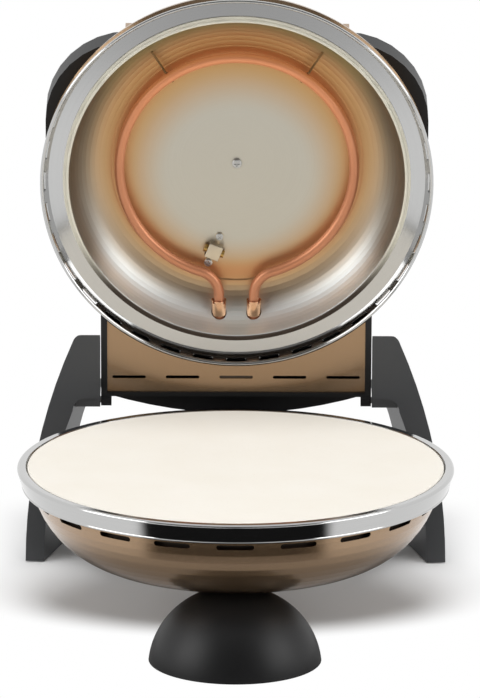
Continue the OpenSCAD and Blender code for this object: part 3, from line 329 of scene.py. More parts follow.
@dataclass(frozen=True)
class BronzePaint:
    """Light bronze metallic paint, with fine flakes and a slight orange peel."""

    name: str = "bronze_paint"
    colour: Colour = field(default_factory=lambda: linear(168, 138, 106))

    def material(self) -> bpy.types.Material:
        """Builds the finish.

        Returns:
            The material.
        """
        tree = Tree(self.name)
        point = tree.place()
        flake = tree.noise(point, 2600.0, 2.0, 0.7)
        peel = tree.noise(point, 420.0, 2.0)
        shade = tree.noise(point, 9.0, 2.0)
        dark = darker(self.colour, 0.82)
        return tree.surface(
            Base_Color=tree.mix(flake * 0.6 + shade * 0.25, self.colour, dark),
            Metallic=0.88,
            Roughness=0.22 + flake * 0.08,
            Coat_Weight=0.6,
            Coat_Roughness=0.1,
            Normal=tree.bump(peel, 0.00003, 0.35),
        )


@dataclass(frozen=True)
class BlackMoulding:
    """Black moulded plastic with a fine spark-eroded grain."""

    name: str = "black_moulding"
    colour: Colour = field(default_factory=lambda: linear(22, 22, 23))
    rough: float = 0.38
    gloss: float = 0.35
    grain: float = 0.45

    def material(self) -> bpy.types.Material:
        """Builds the finish.

        Returns:
            The material.
        """
        tree = Tree(self.name)
        point = tree.place()
        grain = tree.noise(point, 1500.0, 3.0, 0.6)
        cloud = tree.noise(point, 30.0, 2.0)
        return tree.surface(
            Base_Color=tree.mix(cloud * 0.5, self.colour, darker(self.colour, 0.75)),
            Roughness=self.rough + grain * 0.12,
            Specular_IOR_Level=self.gloss,
            Normal=tree.bump(grain, 0.00006, self.grain),
        )


@dataclass(frozen=True)
class FiredClay:
    """Baking stone: pale fired clay, with specks and pores."""

    name: str = "fired_clay"

    def material(self) -> bpy.types.Material:
        """Builds the finish.

        Returns:
            The material.
        """
        tree = Tree(self.name)
        point = tree.place()
        cloud = tree.noise(point, 16.0, 4.0, 0.6)
        speck = tree.noise(point, 900.0, 2.0, 0.7).ramp(0.66, 0.74)
        pore = tree.noise(point, 480.0, 3.0, 0.65)
        clay = tree.mix(cloud, linear(243, 239, 231), linear(236, 230, 218))
        return tree.surface(
            Base_Color=tree.mix(speck * 0.35, clay, linear(196, 178, 150)),
            Roughness=0.78 + pore * 0.12,
            Normal=tree.bump(pore, 0.00012, 0.5),
        )


@dataclass(frozen=True)
class DishSheet:
    """Bright drawn dish, tinted by heating beside the element, with painted light and shade: a darker upper
    wall, sides and lower lip, a pale painted reflection low on the wall, and painted glow beside the
    element.
    """

    name: str = "bright_aluminium"
    placement: Matrix = field(default_factory=lambda: LAYOUT.lid)
    element_r: float = 90 * MM
    wall_r: Pair = (104 * MM, 122 * MM)
    low_r: Pair = (108 * MM, 124 * MM)
    lip_r: Pair = (127.5 * MM, 128.2 * MM)
    top_y: Pair = (-110 * MM, 70 * MM)
    low_y: Pair = (0.0, 70 * MM)
    side_x: Pair = (80 * MM, 116 * MM)
    side_y: Pair = (55 * MM, 100 * MM)
    lip_shadow_y: Pair = (40 * MM, 95 * MM)
    core_w: float = 13 * MM
    tint_w: float = 31 * MM
    tube_shade_top: float = 26
    tint_out: float = 8

    def material(self) -> bpy.types.Material:
        """Builds the finish.

        Returns:
            The material.
        """
        tree = Tree(self.name)
        x, y, z = tree.split(tree.place(self.placement))
        radius = tree.radius(x, y)
        lines = tree.noise(tree.join(radius * 1600, z * 1600, x * 3), 1.0, 3.0)
        wall = radius.ramp(*self.wall_r)
        top = 1 - y.ramp(*self.top_y)
        low = radius.ramp(*self.low_r) * y.ramp(*self.low_y)
        lip = radius.ramp(*self.lip_r)
        out = radius - self.element_r
        # Tint from heating beside the element, plus painted shade of the tube that reaches further and grows
        # stronger towards the top of the open lid.
        spread = top * self.tube_shade_top * MM + out.ramp(0.0, 8 * MM) * self.tint_out * MM + self.tint_w
        heat_and_shade = 1 - (out.size() / spread).ramp(0.0, 1.0)
        core = radius.near(self.element_r, self.core_w)
        side = wall * x.size().ramp(*self.side_x) * (1 - y.ramp(*self.side_y))
        bare = tree.mix(lines, linear(206, 202, 190), linear(198, 193, 180))
        gold = tree.mix(heat_and_shade * (0.85 + top * 0.15), bare, linear(206, 160, 98))
        # Painted shade: the upper wall of the open dish is coloured darker olive.
        shaded_top_wall = tree.mix(wall * top * 0.9, gold, linear(160, 158, 112))
        # Painted reflection: the lower wall of the open dish is coloured pale silver.
        bright_low_wall_reflection = tree.mix(low, shaded_top_wall, linear(232, 238, 238))
        # Painted shade: the left and right sides of the wall are coloured darker greyish brown.
        shaded_wall_sides = tree.mix(side * 0.85, bright_low_wall_reflection, linear(124, 116, 102))
        # Tint from heating plus painted glow of the tube: orange right beside the element.
        hot = tree.mix(core * 0.7, shaded_wall_sides, linear(210, 148, 100))
        # Painted shadow: the lip is cream above and turns dark brown towards the bottom of the open dish.
        shadowed_lip_colour = tree.mix(y.ramp(*self.lip_shadow_y), linear(236, 231, 214), linear(70, 58, 48))
        return tree.surface(
            Base_Color=tree.mix(lip, hot, shadowed_lip_colour),
            Metallic=0.9 - core * 0.2 - lip * 0.5,
            Roughness=0.36 + wall * 0.12 + lines * 0.06,
            Normal=tree.bump(lines, 0.00002, 0.06),
        )


@dataclass(frozen=True)
class PlainMetal:
    """Plated or drawn metal of one colour."""

    name: str
    colour: Colour
    rough: float = 0.32

    def material(self) -> bpy.types.Material:
        """Builds the finish.

        Returns:
            The material.
        """
        tree = Tree(self.name)
        point = tree.place()
        cloud = tree.noise(point, 60.0, 3.0)
        fine = tree.noise(point, 1800.0, 2.0)
        return tree.surface(
            Base_Color=tree.mix(cloud, self.colour, darker(self.colour, 0.8)),
            Metallic=1.0,
            Roughness=self.rough + cloud * 0.1,
            Normal=tree.bump(fine, 0.00001, 0.4),
        )


@dataclass(frozen=True)
class HeaterTube:
    """Copper-toned heater sheath, darker where it has been hottest, with a faint painted glow that is
    brighter towards the lid's front edge.
    """

    name: str = "heater_copper"
    placement: Matrix = field(default_factory=lambda: LAYOUT.lid)
    tails_y: Pair = (70 * MM, 112 * MM)
    painted_glow_y: Pair = (-90 * MM, 20 * MM)

    def material(self) -> bpy.types.Material:
        """Builds the finish.

        Returns:
            The material.
        """
        tree = Tree(self.name)
        point = tree.place(self.placement)
        _, y, _ = tree.split(point)
        cloud = tree.noise(point, 40.0, 3.0)
        hot = 1 - y.ramp(*self.tails_y)
        base = tree.mix(cloud, linear(202, 142, 108), linear(188, 126, 92))
        return tree.surface(
            Base_Color=tree.mix(hot * 0.3, base, linear(212, 138, 96)),
            Metallic=0.55,
            Roughness=0.34 + cloud * 0.08,
            # Painted glow: the sheath emits light, brighter towards the lid's front edge.
            Emission_Color=tree.mix(y.ramp(*self.painted_glow_y), linear(226, 140, 84), linear(110, 60, 34)),
            Emission_Strength=0.3,
        )


@dataclass(frozen=True)
class Glazed:
    """Smooth non-metal: ceramic, rubber or a lens."""

    name: str
    colour: Colour
    rough: float = 0.3
    grain: float = 300.0

    def material(self) -> bpy.types.Material:
        """Builds the finish.

        Returns:
            The material.
        """
        tree = Tree(self.name)
        cloud = tree.noise(tree.place(), self.grain, 2.0)
        return tree.surface(
            Base_Color=tree.mix(cloud * 0.5, self.colour, darker(self.colour, 0.85)),
            Roughness=self.rough + cloud * 0.08,
            Normal=tree.bump(cloud, 0.00002, 0.3),
        )


class Finishes:
    """Every finish of the object, by the record's material slot."""

    def __init__(self) -> None:
        """Builds the materials once."""
        self.by_slot: dict[str, bpy.types.Material] = {
            "chrome_ring": Chrome("chrome_ring", LAYOUT.base).material(),
            "fired_clay": FiredClay().material(),
            "bronze_paint": BronzePaint().material(),
            "bright_aluminium": DishSheet().material(),
            "heater_sheath": PlainMetal("heater_sheath", linear(96, 90, 86), 0.45).material(),
            "heater_copper": HeaterTube().material(),
            "plated_steel": PlainMetal("plated_steel", (0.62, 0.62, 0.61)).material(),
            "white_ceramic": Glazed("white_ceramic", linear(236, 233, 226), 0.18).material(),
            "black_moulding": BlackMoulding().material(),
            "black_rubber": Glazed("black_rubber", linear(26, 26, 26), 0.7, 900.0).material(),
            "brass_fitting": PlainMetal("brass_fitting", linear(200, 162, 96), 0.3).material(),
            "amber_lens": Glazed("amber_lens", linear(232, 140, 40), 0.08).material(),
        }
        self.lid_chrome = Chrome("lid_chrome", LAYOUT.lid).material()
        self.browned_steel = PlainMetal("browned_steel", linear(150, 118, 80), 0.34).material()
        self.bright_copper = PlainMetal("bright_copper", linear(226, 178, 140), 0.2).material()
        self.warm_steel = PlainMetal("warm_steel", linear(222, 208, 184), 0.3).material()
        # Painted shade: the white ceramic terminal blocks are coloured dark brown.
        self.terminals_painted_shade = Glazed("terminals_painted_shade", linear(74, 60, 46), 0.5).material()
        # Painted sheen: the legs take a lighter, glossier copy of the black moulding.
        self.legs_painted_sheen = BlackMoulding("legs_painted_sheen", linear(40, 42, 45), 0.38, 1.0, 0.9).material()

    def __getitem__(self, slot: str) -> bpy.types.Material:
        """Gives a slot's material."""
        return self.by_slot[slot]


def deselect_all() -> None:
    """Leaves nothing selected and no object active in edit mode."""
    if bpy.context.object and bpy.context.object.mode != "OBJECT":
        bpy.ops.object.mode_set(mode="OBJECT")
    bpy.ops.object.select_all(action="DESELECT")


def only(piece: bpy.types.Object) -> None:
    """Selects one object alone and makes it active.

    Args:
        piece: The object.
    """
    deselect_all()
    piece.select_set(True)
    bpy.context.view_layer.objects.active = piece


@contextmanager
def editing(piece: bpy.types.Object) -> Iterator[None]:
    """Keeps a piece in edit mode for a while.

    Args:
        piece: The piece.

    Returns:
        Nothing, for a with statement.
    """
    only(piece)
    bpy.ops.object.mode_set(mode="EDIT")
    try:
        yield
    finally:
        bpy.ops.object.mode_set(mode="OBJECT")


def add_modifier(piece: bpy.types.Object, kind: str, **settings: object) -> None:
    """Adds a modifier and applies it.

    Args:
        piece: The piece that it works on.
        kind: The modifier's type.
        **settings: Its properties.
    """
    only(piece)
    modifier = piece.modifiers.new(kind.lower(), kind)
    for key, value in settings.items():
        setattr(modifier, key, value)
    bpy.ops.object.modifier_apply(modifier=modifier.name)


def settle(piece: bpy.types.Object, matrix: Matrix) -> None:
    """Puts a piece in place and writes the place into its mesh.

    Args:
        piece: The piece.
        matrix: The placement, on top of where the piece is.
    """
    piece.matrix_world = matrix @ piece.matrix_world
    only(piece)
    bpy.ops.object.transform_apply(location=True, rotation=True, scale=True)


def smooth(piece: bpy.types.Object, degrees: float = 35) -> None:
    """Shades a piece smooth, apart from its sharp edges."""
    only(piece)
    bpy.ops.object.shade_smooth_by_angle(angle=math.radians(degrees))


def hand_over(
    piece: bpy.types.Object,
    body: Body,
    material: bpy.types.Material,
    stands_for: Sequence[str] = (),
) -> bpy.types.Object:
    """Dresses a finished piece and ties it to its body.

    Args:
        piece: The finished mesh object.
        body: The body that it moves with.
        material: The finish that shows.
        stands_for: CAD nodes that it replaces.

    Returns:
        The same piece.
    """
    piece.data.materials.clear()
    piece.data.materials.append(material)
    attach(piece, body.value)
    if stands_for:
        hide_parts(*stands_for)
    log.info("%s: %d faces on %s", piece.name, len(piece.data.polygons), body.value)
    return piece


def pick_faces(piece: bpy.types.Object, test: Callable[[Vector, Vector], bool]) -> None:
    """Selects the faces whose middle and normal pass a test, in edit mode.

    Args:
        piece: The piece that is being edited.
        test: Says from a face's middle and normal whether it is wanted.
    """
    bpy.ops.mesh.select_mode(type="FACE")
    mesh = bmesh.from_edit_mesh(piece.data)
    for face in mesh.faces:
        face.select_set(test(face.calc_center_median(), face.normal))
    bmesh.update_edit_mesh(piece.data)


def faces_up(middle: Vector, normal: Vector) -> bool:
    """Is true for a face that looks up."""
    return normal.z > 0.9


def recess(piece: bpy.types.Object, cutter: bpy.types.Object) -> None:
    """Cuts a shape out of a piece and deletes the cutting shape."""
    add_modifier(piece, "BOOLEAN", operation="DIFFERENCE", solver="EXACT", object=cutter)
    bpy.data.objects.remove(cutter, do_unlink=True)


def copy_of(model: bpy.types.Object, name: str, matrix: Matrix) -> bpy.types.Object:
    """Copies a model, with a mesh of its own, and settles the copy in place.

    Args:
        model: What is copied.
        name: The copy's name.
        matrix: Its placement.

    Returns:
        The copy.
    """
    piece = bpy.data.objects.new(name, model.data.copy())
    bpy.context.scene.collection.objects.link(piece)
    settle(piece, matrix)
    return piece


def joined(name: str, pieces: Sequence[bpy.types.Object]) -> bpy.types.Object:
    """Joins several objects to one.

    Args:
        name: Its name.
        pieces: The objects, of which the first takes in the others.

    Returns:
        The joined object.
    """
    deselect_all()
    for piece in pieces:
        piece.select_set(True)
    bpy.context.view_layer.objects.active = pieces[0]
    bpy.ops.object.join()
    pieces[0].name = name
    return pieces[0]


def cylinder(
    radius: float, depth: float, vertices: int, centre: Triple = (0, 0, 0), ends: str = "NGON"
) -> bpy.types.Object:
    """Models an upright cylinder.

    Args:
        radius: Its radius.
        depth: Its height.
        vertices: Sides round it.
        centre: Its middle.
        ends: How its ends are filled.

    Returns:
        The cylinder.
    """
    deselect_all()
    bpy.ops.mesh.primitive_cylinder_add(
        vertices=vertices, radius=radius, depth=depth, end_fill_type=ends, location=centre
    )
    return bpy.context.object


def rounded_box(size: Triple, centre: Vector, edge: float, segments: int = 3) -> bpy.types.Object:
    """Models a block with rounded edges.

    Args:
        size: Its sides.
        centre: Its middle.
        edge: The radius of its edges.
        segments: Faces across an edge.

    Returns:
        The block.
    """
    deselect_all()
    bpy.ops.mesh.primitive_cube_add(size=1.0, location=centre)
    block = bpy.context.object
    block.scale = size
    only(block)
    bpy.ops.object.transform_apply(location=True, rotation=True, scale=True)
    add_modifier(block, "BEVEL", width=edge, segments=segments, limit_method="ANGLE")
    return block


def softened(node: str, edge: float, segments: int = 3, degrees: float = 32) -> bpy.types.Object:
    """Copies a CAD node's shape and rounds its sharp edges, as the moulded or pressed piece has them.

    Args:
        node: The CAD node.
        edge: The width of the rounding.
        segments: Faces across it.
        degrees: The least angle of an edge that is rounded.

    Returns:
        The rounded copy.
    """
    piece = bpy.data.objects.new(f"{node}_shape", frame["nodes"][node].data.copy())
    bpy.context.scene.collection.objects.link(piece)
    only(piece)
    bpy.ops.mesh.customdata_custom_splitnormals_clear()
    with editing(piece):
        bpy.ops.mesh.select_all(action="SELECT")
        bpy.ops.mesh.remove_doubles(threshold=0.00001)
        bpy.ops.mesh.dissolve_limited(angle_limit=math.radians(0.05))
    add_modifier(
        piece,
        "BEVEL",
        width=edge,
        segments=segments,
        limit_method="ANGLE",
        angle_limit=math.radians(degrees),
        miter_outer="MITER_ARC",
    )
    smooth(piece, degrees + 8)
    add_modifier(piece, "WEIGHTED_NORMAL", weight=100, keep_sharp=True)
    return piece


@dataclass
class MouldedParts:
    """Moulded and pressed pieces that keep their CAD shape and gain rounded edges."""

    finishes: Finishes
    lid_nodes: tuple[str, ...] = ("lid_housing", "top_cover", "underside_panel")
    edges: dict[str, float] = field(
        default_factory=lambda: {
            "lid_housing": 0.9 * MM,
            "top_cover": 0.4 * MM,
            "underside_panel": 0.55 * MM,
            "leg_left": 1.0 * MM,
            "leg_right": 1.0 * MM,
            "front_foot": 0.8 * MM,
            "terminal_cover": 0.8 * MM,
            "baking_stone": 0.5 * MM,
        }
    )
    cover_front: float = -100 * MM
    cover_back: float = 7 * MM

    def set_back(self, cover: bpy.types.Object) -> None:
        """Moves the cover's front edge back a little.

        Args:
            cover: The cover, in place on the open lid.
        """
        unplace = LAYOUT.lid.inverted()
        with editing(cover):
            bpy.ops.mesh.select_mode(type="VERT")
            mesh = bmesh.from_edit_mesh(cover.data)
            for vertex in mesh.verts:
                vertex.select_set((unplace @ vertex.co).y < self.cover_front)
            bmesh.update_edit_mesh(cover.data)
            bpy.ops.transform.translate(value=LAYOUT.lid.to_3x3() @ Vector((0, self.cover_back, 0)))

    def build(self) -> None:
        """Rounds each piece and dresses it."""
        for node, edge in self.edges.items():
            body = Body.LID if node in self.lid_nodes else Body.BASE
            slot = SLOTS[node]
            # The legs take the copy of the black moulding with painted sheen.
            finish = self.finishes.legs_painted_sheen if node.startswith("leg") else self.finishes[slot]
            piece = softened(node, edge)
            if node == "top_cover":
                self.set_back(piece)
            hand_over(piece, body, finish, [node])


@dataclass
class CrossScrews:
    """Pan-head screws with cross recesses, modelled once and copied."""

    finishes: Finishes
    head_r: float = 3.8 * MM
    head_h: float = 2.4 * MM
    clamp_r: float = 3.0 * MM
    clamp_h: float = 1.6 * MM
    dome: float = 0.55
    slot_l: float = 1.15
    slot_w: float = 0.26
    cover_places: tuple[Pair, ...] = ((-74, -90.5), (74, -90.5), (-83, 158), (83, 158))

    def model(self) -> bpy.types.Object:
        """Models one head on z = 0: a cylinder with a domed rim, and a cross cut into it.

        Returns:
            The head.
        """
        head = cylinder(self.head_r, self.head_h, 48, (0, 0, self.head_h / 2))
        head.name = "screw_model"
        only(head)
        bpy.ops.object.transform_apply(location=True, rotation=True, scale=True)
        with editing(head):
            pick_faces(head, faces_up)
            bpy.ops.mesh.bevel(offset=self.head_h * self.dome, segments=6, affect="EDGES", profile=0.6)
        for turn in (0, 90):
            blade = rounded_box(
                (self.head_r * self.slot_l, self.head_r * self.slot_w, self.head_h),
                Vector((0, 0, self.head_h * 0.95)),
                self.head_r * 0.05,
                2,
            )
            settle(blade, Matrix.Rotation(math.radians(turn), 4, "Z"))
            recess(head, blade)
        smooth(head, 40)
        return head

    def build(self) -> None:
        """Copies the model to every screw."""
        model = self.model()
        down = Matrix.Rotation(math.pi, 4, "X")
        across = self.clamp_r / self.head_r
        small = Matrix.Diagonal((across, across, self.clamp_h / self.head_h, 1))
        heads = [copy_of(model, "centre", LAYOUT.lid @ Matrix.Translation((0, 0, LAYOUT.disc_low)) @ down)]
        for side in (-1, 1):
            spot = Matrix.Translation((side * LAYOUT.ear_x, 0, LAYOUT.strap_t))
            turn = Matrix.Rotation(side * 0.4, 4, "Z")
            heads.append(copy_of(model, "clamp", LAYOUT.limiter @ (spot @ turn) @ small))
        steel = self.finishes["plated_steel"]
        hand_over(joined("dish_screw_heads", heads), Body.LID, steel, ["dish_screws"])
        heads = []
        for index, (x, y) in enumerate(self.cover_places):
            spot = Matrix.Translation((x * MM, y * MM, LAYOUT.cover_top))
            heads.append(copy_of(model, "cover", LAYOUT.lid @ spot @ Matrix.Rotation(index * 0.7, 4, "Z")))
        hand_over(joined("cover_screw_heads", heads), Body.LID, steel, ["cover_screws"])
        bpy.data.objects.remove(model, do_unlink=True)


@dataclass
class DishFittings:
    """Small bright fittings in the dish: the element's clips and ferrules, and the limiter's bracket."""

    finishes: Finishes
    element_r: float = 89.6 * MM
    element_z: float = 35 * MM
    tube_r: float = 3.8 * MM
    wall_r: float = 112.9 * MM
    wall_z: float = 40.1 * MM
    clip_turn: float = math.radians(35)
    wire_r: float = 0.9 * MM
    clip_foot: Pair = (3 * MM, 0.8 * MM)
    clip_arm: Pair = (9 * MM, 2.6 * MM)
    tail_x: float = 13.4 * MM
    ferrule_r: float = 5.4 * MM
    ferrule_t: float = 0.7 * MM
    ferrule_from: float = 108.4 * MM
    ferrule_l: float = 12.2 * MM
    ferrule_flare: float = 1.06
    notch_w: float = 1.6 * MM
    notch_l: float = 4.4 * MM
    bracket_l: float = 12 * MM
    bracket_w: float = 11 * MM
    bracket_h: float = 7.4 * MM
    neck_l: float = 4.4 * MM
    neck_w: float = 3.6 * MM
    ear_r: float = 3.3 * MM

    def clips(self) -> None:
        """Bends two wire clips that reach from the wall and hook round behind the tube."""
        centre = Vector((self.element_r, 0, self.element_z))
        grip = self.tube_r + self.wire_r + 0.1 * MM
        path = [
            Vector((self.wall_r, 0, self.wall_z)),
            Vector((self.wall_r - self.clip_foot[0], 0, self.wall_z - self.clip_foot[1])),
            Vector((self.element_r + self.clip_arm[0], 0, self.element_z + self.clip_arm[1])),
        ]
        for degrees in range(40, 221, 30):
            angle = math.radians(degrees) - math.pi / 3
            path.append(centre + Vector((math.cos(angle), 0, math.sin(angle))) * grip)
        deselect_all()
        bpy.ops.curve.primitive_nurbs_path_add()
        curve = bpy.context.object.data
        spline = curve.splines[0]
        spline.points.add(len(path) - len(spline.points))
        for point, spot in zip(spline.points, path):
            point.co = (*spot, 1)
        spline.use_endpoint_u = True
        curve.bevel_depth = self.wire_r
        curve.bevel_resolution = 3
        curve.use_fill_caps = True
        curve.resolution_u = 6
        bpy.ops.object.convert(target="MESH")
        wire = bpy.context.object
        smooth(wire, 50)
        wires = []
        for side in (-1, 1):
            turn = Matrix.Rotation(-math.pi / 2 + side * self.clip_turn, 4, "Z")
            wires.append(copy_of(wire, "clip", LAYOUT.lid @ turn))
        bpy.data.objects.remove(wire, do_unlink=True)
        clips = joined("clip_wires", wires)
        hand_over(clips, Body.LID, self.finishes.browned_steel, ["element_clips"])

    def ferrules(self) -> None:
        """Models a sleeve with a flared, notched mouth and puts one on each tail."""
        sleeve = cylinder(self.ferrule_r, self.ferrule_l, 64, ends="NOTHING")
        sleeve.name = "ferrule_model"
        with editing(sleeve):
            bpy.ops.mesh.select_all(action="SELECT")
            bpy.ops.mesh.subdivide(number_cuts=1)
            bpy.ops.mesh.select_mode(type="VERT")
            mesh = bmesh.from_edit_mesh(sleeve.data)
            for vertex in mesh.verts:
                vertex.select_set(vertex.co.z < -self.ferrule_l * 0.45)
            bmesh.update_edit_mesh(sleeve.data)
            flare = (self.ferrule_flare, self.ferrule_flare, 1)
            bpy.ops.transform.resize(value=flare, center_override=(0, 0, 0))
        add_modifier(sleeve, "SOLIDIFY", thickness=self.ferrule_t, offset=-1)
        for turn in (45, 135):
            size = (4 * self.ferrule_r, self.notch_w, self.notch_l)
            notch = rounded_box(size, Vector((0, 0, -self.ferrule_l / 2)), 0.3 * MM, 2)
            settle(notch, Matrix.Rotation(math.radians(turn), 4, "Z"))
            recess(sleeve, notch)
        sharp = math.radians(40)
        add_modifier(sleeve, "BEVEL", width=0.15 * MM, segments=2, limit_method="ANGLE", angle_limit=sharp)
        smooth(sleeve, 40)
        lay = Matrix.Rotation(-math.pi / 2, 4, "X")
        pair = []
        for side in (-1, 1):
            spot = Vector((side * self.tail_x, self.ferrule_from + self.ferrule_l / 2, self.element_z))
            pair.append(copy_of(sleeve, "ferrule", LAYOUT.lid @ Matrix.Translation(spot) @ lay))
        bpy.data.objects.remove(sleeve, do_unlink=True)
        sleeves = joined("tail_ferrules", pair)
        hand_over(sleeves, Body.LID, self.finishes.bright_copper, ["element_ferrules"])

    def bracket(self) -> None:
        """Models the limiter's folded bracket: a plate on two cheeks, with an eyelet at each end."""
        plate, cheek = LAYOUT.strap_t, self.bracket_h / 2
        top = Vector((0, 0, self.bracket_h - plate / 2))
        parts = [rounded_box((self.bracket_l, self.bracket_w, plate), top, 0.3 * MM)]
        for side in (-1, 1):
            middle = Vector((side * (self.bracket_l - plate) / 2, 0, cheek))
            parts.append(rounded_box((plate, self.bracket_w, self.bracket_h), middle, 0.3 * MM))
            neck = Vector((side * (self.bracket_l / 2 + 1.6 * MM), 0, plate / 2))
            parts.append(rounded_box((self.neck_l, self.neck_w, plate), neck, 0.2 * MM, 2))
            eyelet = cylinder(self.ear_r, plate, 40, (side * LAYOUT.ear_x, 0, plate / 2))
            with editing(eyelet):
                pick_faces(eyelet, faces_up)
                bpy.ops.mesh.inset(thickness=0.5 * MM, depth=0.1 * MM)
            parts.append(eyelet)
        bracket = joined("limiter_bracket", parts)
        smooth(bracket, 40)
        settle(bracket, LAYOUT.limiter)
        hand_over(bracket, Body.LID, self.finishes.warm_steel, ["limiter_clamp"])

    def build(self) -> None:
        """Makes all the fittings."""
        self.clips()
        self.ferrules()
        self.bracket()


@dataclass
class Control:
    """Knob with its grip bar and pointer, and the dial printed round it."""

    finishes: Finishes
    skirt_r: float = 19 * MM
    skirt_h: float = 3 * MM
    drum_r: float = 16 * MM
    drum_h: float = 7.7 * MM
    bar_w: float = 8 * MM
    bar_h: float = 13.8 * MM
    bar_taper: Triple = (0.78, 0.94, 1)
    pointer: Triple = (1.3 * MM, 10 * MM, 0.5 * MM)
    gap: float = 0.8 * MM
    flutes: int = 24
    flute_depth: float = 0.6 * MM
    figures: tuple[str, ...] = ("0", "1", "2", "3", "4", "5")
    figure_r: float = 24.5 * MM
    figure_size: float = 5.2 * MM
    dot_r: float = 0.45 * MM
    dots_out: float = 2 * MM
    dot_steps: int = 5
    sweep: float = 270.0

    @property
    def seat(self) -> Matrix:
        """Places a shape on the cover at the knob."""
        return LAYOUT.lid @ Matrix.Translation((0, LAYOUT.knob_y, LAYOUT.cover_top))

    def in_flute(self, middle: Vector, normal: Vector) -> bool:
        """Is true for a face of the drum's side that lies in a flute."""
        step = 2 * math.pi / self.flutes
        return abs(normal.z) < 0.1 and (math.atan2(middle.y, middle.x) % step) < step * 0.3

    def knob(self) -> None:
        """Models the skirt, the fluted drum and the grip bar, and joins them."""
        skirt = cylinder(self.skirt_r, self.skirt_h, 96, (0, 0, self.skirt_h / 2))
        with editing(skirt):
            pick_faces(skirt, faces_up)
            bpy.ops.mesh.bevel(offset=1.0 * MM, segments=4, affect="EDGES")
        drum = cylinder(self.drum_r, self.drum_h, self.flutes * 4, (0, 0, self.drum_h / 2))
        with editing(drum):
            pick_faces(drum, self.in_flute)
            bpy.ops.transform.shrink_fatten(value=-self.flute_depth)
            pick_faces(drum, faces_up)
            bpy.ops.mesh.inset(thickness=1.2 * MM, depth=0.6 * MM)
        size = (self.bar_w, 2 * self.drum_r - 1.5 * MM, self.bar_h)
        bar = rounded_box(size, Vector((0, 0, self.bar_h / 2)), 1.6 * MM, 4)
        with editing(bar):
            pick_faces(bar, lambda middle, normal: middle.z > self.bar_h * 0.7)
            bpy.ops.transform.resize(value=self.bar_taper, center_override=(0, 0, 0))
        knob = joined("knob_cap", [skirt, drum, bar])
        smooth(knob, 35)
        raised = self.seat @ Matrix.Translation((0, 0, self.gap))
        settle(knob, raised)
        hand_over(knob, Body.KNOB, self.finishes["black_moulding"], ["control_knob"])
        spot = Vector((0, self.drum_r - 7 * MM, self.bar_h - 0.12 * MM))
        line = rounded_box(self.pointer, spot, 0.2 * MM, 2)
        line.name = "knob_pointer"
        settle(line, raised)
        hand_over(line, Body.KNOB, self.finishes["white_ceramic"])

    @staticmethod
    def round_dial(degrees: float, radius: float) -> Vector:
        """Gives the place on the dial at an angle from its zero, clockwise, and a distance from its axis."""
        angle = math.radians(90 - degrees)
        return Vector((math.cos(angle), math.sin(angle), 0)) * radius

    def dial(self) -> None:
        """Prints plain figures and dots round the knob on the cover."""
        marks = []
        last = len(self.figures) - 1
        for index, figure in enumerate(self.figures):
            spot = self.round_dial(index * self.sweep / last, self.figure_r)
            deselect_all()
            bpy.ops.object.text_add(location=(0, 0, 0))
            text = bpy.context.object
            text.data.body = figure
            text.data.align_x = "CENTER"
            text.data.align_y = "CENTER"
            text.data.size = self.figure_size
            text.data.extrude = 0.04 * MM
            only(text)
            bpy.ops.object.convert(target="MESH")
            text = bpy.context.object
            settle(text, self.seat @ Matrix.Translation(spot) @ Matrix.Rotation(math.pi, 4, "Z"))
            marks.append(text)
        dot = cylinder(self.dot_r, 0.1 * MM, 16)
        with editing(dot):
            pick_faces(dot, faces_up)
            bpy.ops.mesh.inset(thickness=0.12 * MM, depth=0.02 * MM)
        steps = last * self.dot_steps
        for index in range(steps + 1):
            if index % self.dot_steps:
                spot = self.round_dial(index * self.sweep / steps, self.skirt_r + self.dots_out)
                marks.append(copy_of(dot, "dot", self.seat @ Matrix.Translation(spot)))
        bpy.data.objects.remove(dot, do_unlink=True)
        printed = joined("dial_print", marks)
        hand_over(printed, Body.LID, self.finishes["black_moulding"])

    def build(self) -> None:
        """Makes the knob and its dial."""
        self.knob()
        self.dial()


